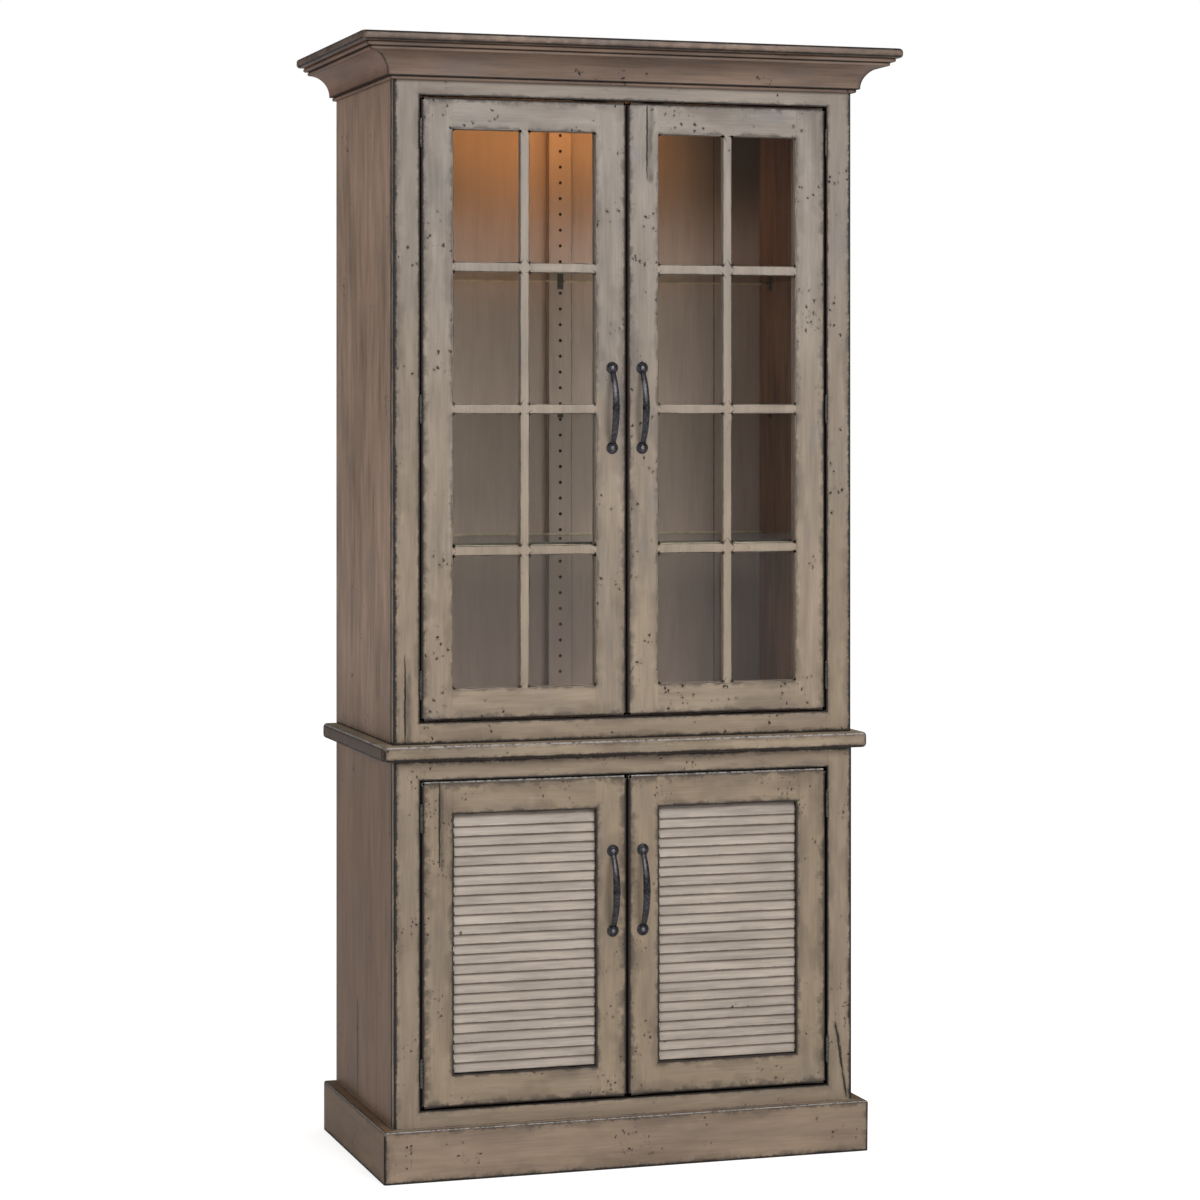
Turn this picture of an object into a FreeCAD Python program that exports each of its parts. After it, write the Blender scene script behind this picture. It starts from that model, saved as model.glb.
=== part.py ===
import FreeCAD, Part
import math
import os

# A tall two-piece china cabinet: glazed doors above, louvred doors below, a mitred crown on top.
# Millimetres, +X right, +Y towards the back, +Z up, origin under the middle of the whole box.

# Whole cabinet
overall_height = 2134.0
case_width = 914.0
upper_case_depth = 473.0
lower_face_step = 4.0
board_thickness = 19.0
back_thickness = 12.0
back_recess = 3.0
back_rebate_width = 9.0
cut_overrun = 5.0
plane_tolerance = 0.005

# Cap board and crown moulding
cap_projection = 81.0
cap_thickness = 18.0
cap_edge_radius = 7.0
crown_height = 64.0
crown_cove_radius = 41.0
crown_cove_setback = 14.5
crown_low_bead = 7.0
crown_fillet_height = 1.0
crown_low_bead_setback = 5.2
crown_mid_bead = 7.0
crown_top_bead_step = 8.0

# Waist slab and plinth
lower_case_height = 781.5
waist_thickness = 29.5
waist_side_overhang = 26.5
waist_front_overhang = 22.5
waist_edge_radius = 8.0
plinth_height = 97.0
plinth_thickness = 25.0
plinth_edge_radius = 4.0

# Face frames
frame_thickness = 22.0
frame_stile_width = 50.0
upper_rail_bottom_height = 41.0
upper_rail_top_height = 92.0
lower_rail_bottom_above_plinth = 31.0
lower_rail_top_height = 37.5
lower_rail_lap = 30.0

# Doors
door_gap = 3.0
door_thickness = 21.0
door_edge_radius = 6.0
door_stile_width = 62.0
upper_door_rail_height = 59.0
lower_door_rail_height = 62.0

# Glazing
lite_columns = 2
lite_rows = 4
muntin_width = 18.0
muntin_recess = 1.0
muntin_ease = 2.5
glass_lip = 12.0
glass_thickness = 3.0
glass_rebate = 8.0
glass_side_clearance = 1.0

# Louvres
slat_pitch = 18.4
slat_width = 25.0
slat_thickness = 5.0
slat_tilt = 20.0
slat_nose = 1.2
slat_lip = 3.0
slat_housing = 6.0

# Pulls
pull_centres = 152.0
pull_from_middle = 30.0
upper_pull_from_opening_bottom = 588.0
lower_pull_from_opening_top = 221.0
rosette_radius = 11.5
rosette_rim = 3.0
rosette_dome = 3.0
rosette_crest_radius = 7.0
grip_end_radius = 4.2
grip_middle_radius = 6.6
grip_projection = 26.0
grip_root_offset = 5.0
grip_root_inset = 8.0
grip_section_count = 7
grip_ring_height = 2.4
grip_ring_stand = 0.9
pull_sides = 12

# Ball-tip butt hinges
hinge_length = 46.0
hinge_barrel_radius = 3.0
hinge_stand_off = 0.3
hinge_pin_radius = 1.4
hinge_pin_clearance = 0.05
hinge_leaf_thickness = 1.2
hinge_leaf_width = 20.0
hinge_knuckles = 3
hinge_knuckle_gap = 0.3
hinge_leaf_clearance = 0.3
hinge_tip_radius = 2.6
hinge_tip_height = 4.4
hinge_sides = 10
hinge_from_end = 70.0
tip_widest_share = 0.45
tip_end_share = 0.5

# Inside
centre_stile_width = 50.0
shelf_hole_radius = 2.5
shelf_hole_depth = 12.0
shelf_hole_pitch = 32.0
shelf_hole_sides = 8
shelf_hole_from_floor = 53.0
shelf_hole_from_top = 25.0
glass_shelf_shares = (0.2765, 0.4987, 0.721)
glass_shelf_thickness = 8.0
glass_shelf_gap = 1.0
glass_shelf_front_setback = 30.0
ceiling_above_opening = 24.0
lower_shelf_share = 0.487
lower_shelf_setback = 60.0
clip_width = 12.0
clip_height = 16.0
clip_thickness = 1.5
clip_ledge = 10.0
clip_from_edge = 45.0
catch_width = 40.0
catch_depth = 14.0
catch_drop = 12.0
catch_rise = 16.0
catch_from_middle = 60.0
strike_thickness = 0.7
strike_height = 16.0
puck_radius = 34.0
puck_height = 14.0
puck_lens_radius = 27.0
puck_lens_recess = 4.0
puck_lens_thickness = 3.0
puck_sides = 24

# Planes that follow from the sizes above
half_width = case_width / 2
inner_half_width = half_width - board_thickness
opening_half_width = half_width - frame_stile_width
overall_depth = upper_case_depth + cap_projection
back_y = overall_depth / 2
upper_face_y = back_y - upper_case_depth
lower_face_y = upper_face_y - lower_face_step
back_panel_y = back_y - back_recess - back_thickness
waist_top = lower_case_height + waist_thickness
cap_underside = overall_height - cap_thickness
crown_bottom = cap_underside - crown_height
upper_opening_bottom = waist_top + upper_rail_bottom_height
upper_opening_top = cap_underside - upper_rail_top_height
lower_opening_bottom = plinth_height + lower_rail_bottom_above_plinth
lower_opening_top = lower_case_height - lower_rail_top_height
upper_pull_height = upper_opening_bottom + upper_pull_from_opening_bottom
lower_pull_height = lower_opening_top - lower_pull_from_opening_top
lower_shelf_low = lower_opening_bottom + lower_shelf_share * (lower_opening_top - lower_opening_bottom)
ceiling_underside = upper_opening_top + ceiling_above_opening
door_inner_x = door_gap / 2
door_outer_x = opening_half_width - door_gap


def point(x, y, z):
    """A point in the cabinet's frame."""
    return FreeCAD.Vector(x, y, z)


def block(x_low, x_high, y_low, y_high, z_low, z_high):
    """A square board between six planes."""
    return Part.makeBox(x_high - x_low, y_high - y_low, z_high - z_low, point(x_low, y_low, z_low))


def other_hand(shape):
    """The same piece for the left side of the cabinet."""
    return shape.mirror(point(0, 0, 0), point(1, 0, 0))


def pair(shape):
    """A piece and its mirror image."""
    return [shape, other_hand(shape)]


def save(node, solids):
    """Write one node, as one solid or as a group of separate solids."""
    shape = solids[0] if len(solids) == 1 else Part.makeCompound(solids)
    shape.exportStep("parts/" + node + ".step")


def polygon_face(corners):
    """A flat face inside a closed run of corners."""
    return Part.Face(Part.makePolygon(corners + [corners[0]]))


def arc(start, middle, end):
    """A round edge through three points."""
    return Part.Arc(start, middle, end).toShape()


def edges_on(shape, inside):
    """The edges of a shape whose ends both pass a test."""
    return [edge for edge in shape.Edges if all(inside(vertex.Point) for vertex in edge.Vertexes)]


def near(a, b):
    """Whether two places lie on one plane."""
    return abs(a - b) < plane_tolerance


def rounded_slab(half_x, y_front, z_low, thickness, edge_radius):
    """A flat top with its front and side edges rounded, square along the wall side."""
    slab = block(-half_x, half_x, y_front, back_y, z_low, z_low + thickness)
    rims = [
        edge
        for edge in slab.Edges
        if near(edge.BoundBox.ZLength, 0) and not near(edge.BoundBox.YMin, back_y)
    ]
    return slab.makeFillet(edge_radius, rims)


def ring(radius, sides, place, heading):
    """A many-sided ring around a place, square to a heading. Small rounds keep few faces this way."""
    turn = FreeCAD.Rotation(point(0, 0, 1), heading)
    corners = []
    for side in range(sides + 1):
        angle = 2 * math.pi * side / sides
        corners.append(place + turn.multVec(point(radius * math.cos(angle), radius * math.sin(angle), 0)))
    return Part.makePolygon(corners)


def rod(radius, sides, place, run):
    """A straight many-sided rod from a place along a run."""
    return Part.Face(ring(radius, sides, place, run)).extrude(run)


def turned(profile, sides, place, heading):
    """A turned piece through (radius, distance) pairs, set at a place along a heading."""
    rings = [ring(radius, sides, place + heading * distance, heading) for radius, distance in profile]
    return Part.makeLoft(rings, True, True)


def crown_outline():
    """Section of the crown: out from the case in X, up in Z, from its lowest edge."""
    bead_out = crown_low_bead_setback
    bead_reach = crown_low_bead / 2
    cove_start = crown_low_bead + crown_fillet_height
    cove_top = cove_start + crown_cove_radius
    cove_out = crown_cove_setback + crown_cove_radius
    cove_middle = crown_cove_radius * math.sqrt(0.5)
    mid_top = cove_top + crown_mid_bead
    top_out = cove_out + crown_top_bead_step
    top_bead = (crown_height - mid_top) / 2
    return [
        Part.makeLine(point(0, 0, 0), point(bead_out, 0, 0)),
        arc(
            point(bead_out, 0, 0),
            point(bead_out + bead_reach, 0, bead_reach),
            point(bead_out, 0, crown_low_bead),
        ),
        Part.makeLine(point(bead_out, 0, crown_low_bead), point(crown_cove_setback, 0, crown_low_bead)),
        Part.makeLine(point(crown_cove_setback, 0, crown_low_bead), point(crown_cove_setback, 0, cove_start)),
        arc(
            point(crown_cove_setback, 0, cove_start),
            point(cove_out - cove_middle, 0, cove_start + cove_middle),
            point(cove_out, 0, cove_top),
        ),
        arc(
            point(cove_out, 0, cove_top),
            point(cove_out + crown_mid_bead / 2, 0, cove_top + crown_mid_bead / 2),
            point(cove_out, 0, mid_top),
        ),
        Part.makeLine(point(cove_out, 0, mid_top), point(top_out, 0, mid_top)),
        arc(
            point(top_out, 0, mid_top),
            point(top_out + top_bead, 0, mid_top + top_bead),
            point(top_out, 0, crown_height),
        ),
        Part.makeLine(point(top_out, 0, crown_height), point(0, 0, crown_height)),
        Part.makeLine(point(0, 0, crown_height), point(0, 0, 0)),
    ]


def plinth_outline():
    """Section of a plinth board with its upper front edge rounded."""
    shoulder = plinth_height - plinth_edge_radius
    flat = plinth_thickness - plinth_edge_radius
    bulge = plinth_edge_radius * math.sqrt(0.5)
    return [
        Part.makeLine(point(0, 0, 0), point(plinth_thickness, 0, 0)),
        Part.makeLine(point(plinth_thickness, 0, 0), point(plinth_thickness, 0, shoulder)),
        arc(
            point(plinth_thickness, 0, shoulder),
            point(flat + bulge, 0, shoulder + bulge),
            point(flat, 0, plinth_height),
        ),
        Part.makeLine(point(flat, 0, plinth_height), point(0, 0, plinth_height)),
        Part.makeLine(point(0, 0, plinth_height), point(0, 0, 0)),
    ]


def mitred_boards(outline, face_y, z_low, reach, height):
    """Front and right-hand lengths of one section, mitred at the front corner."""
    section = Part.Face(Part.Wire(outline))
    side_length = back_y - face_y + reach
    side = section.extrude(point(0, side_length, 0))
    side.translate(point(half_width, face_y - reach, z_low))
    front_length = 2 * (half_width + reach)
    front = section.extrude(point(0, front_length, 0))
    front.rotate(point(0, 0, 0), point(0, 0, 1), -90)
    front.translate(point(-half_width - reach, face_y, z_low))
    front_plan = polygon_face(
        [
            point(-half_width, face_y, z_low),
            point(half_width, face_y, z_low),
            point(half_width + reach, face_y - reach, z_low),
            point(-half_width - reach, face_y - reach, z_low),
        ]
    )
    side_plan = polygon_face(
        [
            point(half_width, face_y, z_low),
            point(half_width + reach, face_y - reach, z_low),
            point(half_width + reach, back_y, z_low),
            point(half_width, back_y, z_low),
        ]
    )
    up = point(0, 0, height)
    return front.common(front_plan.extrude(up)), side.common(side_plan.extrude(up))


def case_side(face_y, z_low, z_high):
    """Right-hand side panel, rebated at the back edge for the back panel."""
    side = block(inner_half_width, half_width, face_y + frame_thickness, back_y, z_low, z_high)
    rebate = block(
        inner_half_width - cut_overrun,
        inner_half_width + back_rebate_width,
        back_panel_y,
        back_y + cut_overrun,
        z_low - cut_overrun,
        z_high + cut_overrun,
    )
    return side.cut(rebate)


def case_back(z_low, z_high):
    """Back panel, let into both sides."""
    reach = inner_half_width + back_rebate_width
    return block(-reach, reach, back_panel_y, back_panel_y + back_thickness, z_low, z_high)


def inside_board(face_y, setback, z_low, thickness):
    """A level board between the sides, from behind the face frame to the back panel."""
    y_front = face_y + frame_thickness + setback
    return block(-inner_half_width, inner_half_width, y_front, back_panel_y, z_low, z_low + thickness)


def face_frame(face_y, z_low, z_high, opening_bottom, opening_top, rail_low):
    """Two full-height stiles and the rails between them."""
    y_back = face_y + frame_thickness
    stile = block(opening_half_width, half_width, face_y, y_back, z_low, z_high)
    low_rail = block(-opening_half_width, opening_half_width, face_y, y_back, rail_low, opening_bottom)
    top_rail = block(-opening_half_width, opening_half_width, face_y, y_back, opening_top, z_high)
    return pair(stile), [low_rail, top_rail]


def door_leaf(face_y, opening_bottom, opening_top):
    """Outer block of the right-hand door, its whole front edge rounded."""
    z_low = opening_bottom + door_gap
    z_high = opening_top - door_gap
    leaf = block(door_inner_x, door_outer_x, face_y, face_y + door_thickness, z_low, z_high)
    return leaf.makeFillet(door_edge_radius, edges_on(leaf, lambda p: near(p.y, face_y)))


def door_boards(leaf, sight, cuts):
    """Stiles and rails of a door, parted at the inner edges of the stiles."""
    x_in, x_out, z_low, z_high = sight
    box = leaf.BoundBox
    hole = block(x_in, x_out, box.YMin - cut_overrun, box.YMax + cut_overrun, z_low, z_high)
    frame = leaf.cut(hole)
    for cut in cuts:
        frame = frame.cut(cut)
    y_low = box.YMin - cut_overrun
    y_high = box.YMax + cut_overrun
    below = box.ZMin - cut_overrun
    above = box.ZMax + cut_overrun
    stiles = [
        frame.common(block(box.XMin - cut_overrun, x_in, y_low, y_high, below, above)),
        frame.common(block(x_out, box.XMax + cut_overrun, y_low, y_high, below, above)),
    ]
    rails = [
        frame.common(block(x_in, x_out, y_low, y_high, below, z_low)),
        frame.common(block(x_in, x_out, y_low, y_high, z_high, above)),
    ]
    return stiles, rails


def door_sight(opening_bottom, opening_top, rail_height):
    """Inner edges of a door's stiles and rails."""
    x_in = door_inner_x + door_stile_width
    x_out = door_outer_x - door_stile_width
    z_low = opening_bottom + door_gap + rail_height
    z_high = opening_top - door_gap - rail_height
    return x_in, x_out, z_low, z_high


def grown(sight, margin, y_low, y_high):
    """A block over a door's sight opening, larger by a margin on all four sides."""
    x_in, x_out, z_low, z_high = sight
    return block(x_in - margin, x_out + margin, y_low, y_high, z_low - margin, z_high + margin)


def eased_bar(bar, y_front):
    """A glazing bar with its two long front edges eased."""
    box = bar.BoundBox
    length = max(box.XLength, box.ZLength)
    front = edges_on(bar, lambda p: near(p.y, y_front))
    return bar.makeChamfer(muntin_ease, [edge for edge in front if near(edge.Length, length)])


def muntin_lines():
    """Heights of the lower edge of each cross bar in the glazed door, from the bottom."""
    x_in, x_out, z_low, z_high = upper_sight
    lite = (z_high - z_low - (lite_rows - 1) * muntin_width) / lite_rows
    return [z_low + row * lite + (row - 1) * muntin_width for row in range(1, lite_rows)]


def muntins():
    """Upright and cross bars that divide the glass."""
    x_in, x_out, z_low, z_high = upper_sight
    y_front = upper_face_y + muntin_recess
    y_back = upper_face_y + glass_lip
    lite = (x_out - x_in - (lite_columns - 1) * muntin_width) / lite_columns
    bars = []
    for column in range(lite_columns):
        left = x_in + column * (lite + muntin_width)
        if column:
            upright = block(left - muntin_width, left, y_front, y_back, z_low, z_high)
            bars.append(eased_bar(upright, y_front))
        for line in muntin_lines():
            cross = block(left, left + lite, y_front, y_back, line, line + muntin_width)
            bars.append(eased_bar(cross, y_front))
    return bars


def glass_stops():
    """Beads behind the glass, in the rebate."""
    x_in, x_out, z_low, z_high = upper_sight
    y_low = upper_face_y + glass_lip + glass_thickness
    y_high = upper_face_y + door_thickness
    low = z_low - glass_rebate
    high = z_high + glass_rebate
    return [
        block(x_in - glass_rebate, x_in, y_low, y_high, low, high),
        block(x_out, x_out + glass_rebate, y_low, y_high, low, high),
        block(x_in, x_out, y_low, y_high, low, z_low),
        block(x_in, x_out, y_low, y_high, z_high, high),
    ]


def slat_section(x, y_front, z_low):
    """End of one slat, its lower front edge at the given place, leaning back upwards."""
    lean = math.radians(slat_tilt)
    along = point(0, math.sin(lean), math.cos(lean))
    across = point(0, math.cos(lean), -math.sin(lean))
    start = point(x, y_front, z_low + slat_thickness * math.sin(lean))
    return polygon_face(
        [
            start + along * slat_nose,
            start + across * slat_nose,
            start + across * slat_thickness,
            start + across * slat_thickness + along * slat_width,
            start + along * slat_width,
        ]
    )


def slat_depth():
    """How deep a leaning slat reaches from its front edge to its back edge."""
    lean = math.radians(slat_tilt)
    return slat_width * math.sin(lean) + slat_thickness * math.cos(lean)


def slats():
    """Fixed louvre slats, evenly stepped between the rails and housed in the stiles."""
    x_in, x_out, z_low, z_high = lower_sight
    lean = math.radians(slat_tilt)
    tall = slat_width * math.cos(lean) + slat_thickness * math.sin(lean)
    steps = int((z_high - z_low - tall) / slat_pitch)
    step = (z_high - z_low - tall) / steps
    run = point(x_out - x_in + 2 * slat_housing, 0, 0)
    y_front = lower_face_y + slat_lip
    return [
        slat_section(x_in - slat_housing, y_front, z_low + step * place).extrude(run)
        for place in range(steps + 1)
    ]


def louvre_groove():
    """Groove in both stiles that holds the ends of the slats."""
    x_in, x_out, z_low, z_high = lower_sight
    y_low = lower_face_y + slat_lip
    return block(x_in - slat_housing, x_out + slat_housing, y_low, y_low + slat_depth(), z_low, z_high)


def rosette(x, face_y, z):
    """Domed foot of a pull, flat against the door."""
    profile = [
        (rosette_radius, 0),
        (rosette_radius, rosette_rim),
        (rosette_crest_radius, rosette_rim + rosette_dome),
    ]
    return turned(profile, pull_sides, point(x, face_y, z), point(0, -1, 0))


def grip(x, face_y, z):
    """Bowed grip between the rosettes, thickest in the middle, with a ring there."""
    half_span = pull_centres / 2 - grip_root_inset
    rise = grip_projection - grip_root_offset
    bow_radius = (half_span**2 + rise**2) / (2 * rise)
    centre = point(x, face_y - grip_projection + bow_radius, z)
    half_angle = math.asin(half_span / bow_radius)
    sections = []
    for index in range(grip_section_count):
        share = 2 * index / (grip_section_count - 1) - 1
        angle = half_angle * share
        place = centre + point(0, -bow_radius * math.cos(angle), bow_radius * math.sin(angle))
        radius = grip_middle_radius - (grip_middle_radius - grip_end_radius) * share**2
        heading = point(0, math.sin(angle), math.cos(angle))
        sections.append(ring(radius, pull_sides, place, heading))
    bar = Part.makeLoft(sections, True, True)
    collar_radius = grip_middle_radius + grip_ring_stand
    collar_low = point(x, face_y - grip_projection, z - grip_ring_height / 2)
    return bar.fuse(rod(collar_radius, pull_sides, collar_low, point(0, 0, grip_ring_height)))


def pull(face_y, z):
    """A bow pull with a rosette at each end."""
    x = pull_from_middle
    ends = [rosette(x, face_y, z + side * pull_centres / 2) for side in (-1, 1)]
    return grip(x, face_y, z).fuse(ends).removeSplitter()


def hinge_axis(face_y):
    """Where a right-hand hinge turns, in front of the gap beside the door."""
    return opening_half_width - door_gap / 2, face_y - hinge_barrel_radius - hinge_stand_off


def knuckle_spans(z, on_frame):
    """Low and high ends of the knuckles of one leaf; the frame's leaf has the outer ones."""
    length = (hinge_length - (hinge_knuckles - 1) * hinge_knuckle_gap) / hinge_knuckles
    step = length + hinge_knuckle_gap
    start = z - hinge_length / 2
    first = 0 if on_frame else 1
    return [(start + step * n, start + step * n + length) for n in range(first, hinge_knuckles, 2)]


def hinge_leaf(face_y, z, on_frame):
    """One leaf: a sheet in the gap, its own knuckles, and room for the other leaf's knuckles."""
    axis_x, axis_y = hinge_axis(face_y)
    sheet_x = opening_half_width - hinge_leaf_thickness if on_frame else door_outer_x
    leaf = block(
        sheet_x,
        sheet_x + hinge_leaf_thickness,
        axis_y,
        axis_y + hinge_leaf_width,
        z - hinge_length / 2,
        z + hinge_length / 2,
    )
    room_y = axis_y + hinge_barrel_radius + hinge_leaf_clearance
    for low, high in knuckle_spans(z, not on_frame):
        room = block(
            sheet_x - cut_overrun,
            sheet_x + hinge_leaf_thickness + cut_overrun,
            axis_y - cut_overrun,
            room_y,
            low - hinge_knuckle_gap,
            high + hinge_knuckle_gap,
        )
        leaf = leaf.cut(room)
    knuckles = [
        rod(hinge_barrel_radius, hinge_sides, point(axis_x, axis_y, low), point(0, 0, high - low))
        for low, high in knuckle_spans(z, on_frame)
    ]
    bore_radius = hinge_pin_radius + hinge_pin_clearance
    bore_low = point(axis_x, axis_y, z - hinge_length / 2 - cut_overrun)
    bore_length = hinge_length + 2 * cut_overrun
    if on_frame:
        bore = rod(bore_radius, hinge_sides, bore_low, point(0, 0, bore_length))
    else:
        bore = Part.makeCylinder(bore_radius, bore_length, bore_low)
    return leaf.fuse(knuckles).cut(bore).removeSplitter()


def hinge_pin(face_y, z):
    """Pin with a ball tip at each end."""
    axis_x, axis_y = hinge_axis(face_y)
    half = hinge_length / 2
    tip = hinge_tip_height
    upper_half = [
        (hinge_pin_radius, half),
        (hinge_tip_radius, half + tip * tip_widest_share),
        (hinge_tip_radius * tip_end_share, half + tip),
    ]
    lower_half = [(radius, -height) for radius, height in reversed(upper_half)]
    return turned(lower_half + upper_half, hinge_sides, point(axis_x, axis_y, z), point(0, 0, 1))


def shelf_clip(x, y, z, turn):
    """L-shaped clip under a shelf, its plate against the board behind it."""
    plate = block(-clip_thickness, 0, -clip_width / 2, clip_width / 2, -clip_height, 0)
    ledge = block(-clip_ledge, 0, -clip_width / 2, clip_width / 2, -clip_thickness, 0)
    clip = plate.fuse(ledge).removeSplitter()
    clip.rotate(point(0, 0, 0), point(0, 0, 1), turn)
    clip.translate(point(x, y, z))
    return clip


def side_clips(y_front, y_rear, z):
    """Four clips under one shelf, two on each side panel."""
    places = [y_front + clip_from_edge, y_rear - clip_from_edge]
    return [clip for y in places for clip in pair(shelf_clip(inner_half_width, y, z, 0))]


def centre_stile():
    """Upright on the back panel, drilled with a row of shelf holes."""
    y_front = back_panel_y - board_thickness
    half = centre_stile_width / 2
    stile = block(-half, half, y_front, back_panel_y, upper_opening_bottom, ceiling_underside)
    first = upper_opening_bottom + shelf_hole_from_floor
    last = upper_opening_top - shelf_hole_from_top
    run = point(0, shelf_hole_depth + cut_overrun, 0)
    holes = []
    for place in range(int((last - first) / shelf_hole_pitch) + 1):
        start = point(0, y_front - cut_overrun, first + shelf_hole_pitch * place)
        holes.append(rod(shelf_hole_radius, shelf_hole_sides, start, run))
    return stile.cut(holes)


def catches(face_y, opening_top):
    """Catch bodies behind the top rail, one for each door."""
    y_low = face_y + frame_thickness
    x_low = catch_from_middle - catch_width / 2
    body = block(
        x_low,
        x_low + catch_width,
        y_low,
        y_low + catch_depth,
        opening_top - catch_drop,
        opening_top + catch_rise,
    )
    return pair(body)


def strike(face_y, opening_top):
    """Thin plate on the back of a door, where its catch holds it."""
    y_low = face_y + door_thickness
    x_low = catch_from_middle - catch_width / 2
    z_high = opening_top - door_gap
    return block(
        x_low, x_low + catch_width, y_low, y_low + strike_thickness, z_high - strike_height, z_high
    )


def save_case():
    """Plinth, both cases, their face frames, the waist slab, the crown and the cap."""
    plinth_front, plinth_side = mitred_boards(
        plinth_outline(), lower_face_y, 0, plinth_thickness + cut_overrun, plinth_height
    )
    save("plinth_front", [plinth_front])
    save("plinth_right", [plinth_side])
    save("plinth_left", [other_hand(plinth_side)])
    rail_y = back_panel_y - board_thickness
    save(
        "plinth_rear_rail",
        [block(-inner_half_width, inner_half_width, rail_y, back_panel_y, 0, plinth_height)],
    )

    lower_side = case_side(lower_face_y, 0, lower_case_height)
    save("lower_side_right", [lower_side])
    save("lower_side_left", [other_hand(lower_side)])
    floor_low = lower_opening_bottom - board_thickness
    save("lower_floor", [inside_board(lower_face_y, 0, floor_low, board_thickness)])
    save("lower_back", [case_back(0, lower_case_height)])
    save("lower_shelf", [inside_board(lower_face_y, lower_shelf_setback, lower_shelf_low, board_thickness)])
    rail_low = plinth_height - lower_rail_lap
    stiles, rails = face_frame(
        lower_face_y, 0, lower_case_height, lower_opening_bottom, lower_opening_top, rail_low
    )
    save("lower_face_stiles", stiles)
    save("lower_face_rails", rails)
    save(
        "waist_slab",
        [
            rounded_slab(
                half_width + waist_side_overhang,
                lower_face_y - waist_front_overhang,
                lower_case_height,
                waist_thickness,
                waist_edge_radius,
            )
        ],
    )

    upper_side = case_side(upper_face_y, waist_top, cap_underside)
    save("upper_side_right", [upper_side])
    save("upper_side_left", [other_hand(upper_side)])
    floor_low = upper_opening_bottom - board_thickness
    save("upper_floor", [inside_board(upper_face_y, 0, floor_low, board_thickness)])
    save("upper_ceiling", [inside_board(upper_face_y, 0, ceiling_underside, board_thickness)])
    save("upper_back", [case_back(waist_top, cap_underside)])
    save("back_centre_stile", [centre_stile()])
    stiles, rails = face_frame(
        upper_face_y, waist_top, cap_underside, upper_opening_bottom, upper_opening_top, waist_top
    )
    save("upper_face_stiles", stiles)
    save("upper_face_rails", rails)
    crown_reach = cap_projection + cut_overrun
    crown_front, crown_side = mitred_boards(
        crown_outline(), upper_face_y, crown_bottom, crown_reach, crown_height
    )
    save("crown_front", [crown_front])
    save("crown_right", [crown_side])
    save("crown_left", [other_hand(crown_side)])
    cap = rounded_slab(
        half_width + cap_projection,
        upper_face_y - cap_projection,
        cap_underside,
        cap_thickness,
        cap_edge_radius,
    )
    save("cap_board", [cap])


def save_inside():
    """Glass shelves on clips, the light under the ceiling, and the catches."""
    y_front = upper_face_y + frame_thickness + glass_shelf_front_setback
    y_rear = back_panel_y - board_thickness
    reach = inner_half_width - glass_shelf_gap
    shelves = []
    clips = []
    for share in glass_shelf_shares:
        z = upper_opening_bottom + share * (upper_opening_top - upper_opening_bottom)
        shelves.append(block(-reach, reach, y_front, y_rear, z, z + glass_shelf_thickness))
        clips += side_clips(y_front, y_rear, z)
        clips.append(shelf_clip(0, y_rear, z, 90))
    save("glass_shelves", shelves)
    lower_y = lower_face_y + frame_thickness + lower_shelf_setback
    clips += side_clips(lower_y, back_panel_y, lower_shelf_low)
    save("shelf_clips", clips)

    light_y = (upper_face_y + back_panel_y) / 2
    light_z = ceiling_underside - puck_height
    body = rod(puck_radius, puck_sides, point(0, light_y, light_z), point(0, 0, puck_height))
    recess_low = point(0, light_y, light_z - cut_overrun)
    recess_run = point(0, 0, puck_lens_recess + cut_overrun)
    recess = rod(puck_lens_radius, puck_sides, recess_low, recess_run)
    lens_low = point(0, light_y, light_z + puck_lens_recess - puck_lens_thickness)
    lens = rod(puck_lens_radius, puck_sides, lens_low, point(0, 0, puck_lens_thickness))
    save("puck_light_body", [body.cut(recess)])
    save("puck_light_lens", [lens])
    save(
        "door_catches",
        catches(upper_face_y, upper_opening_top) + catches(lower_face_y, lower_opening_top),
    )


def save_both_hands(level, piece, solids):
    """Write a door's piece for the right door and, mirrored, for the left one."""
    save(level + "_door_right_" + piece, solids)
    save(level + "_door_left_" + piece, [other_hand(solid) for solid in solids])


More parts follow.
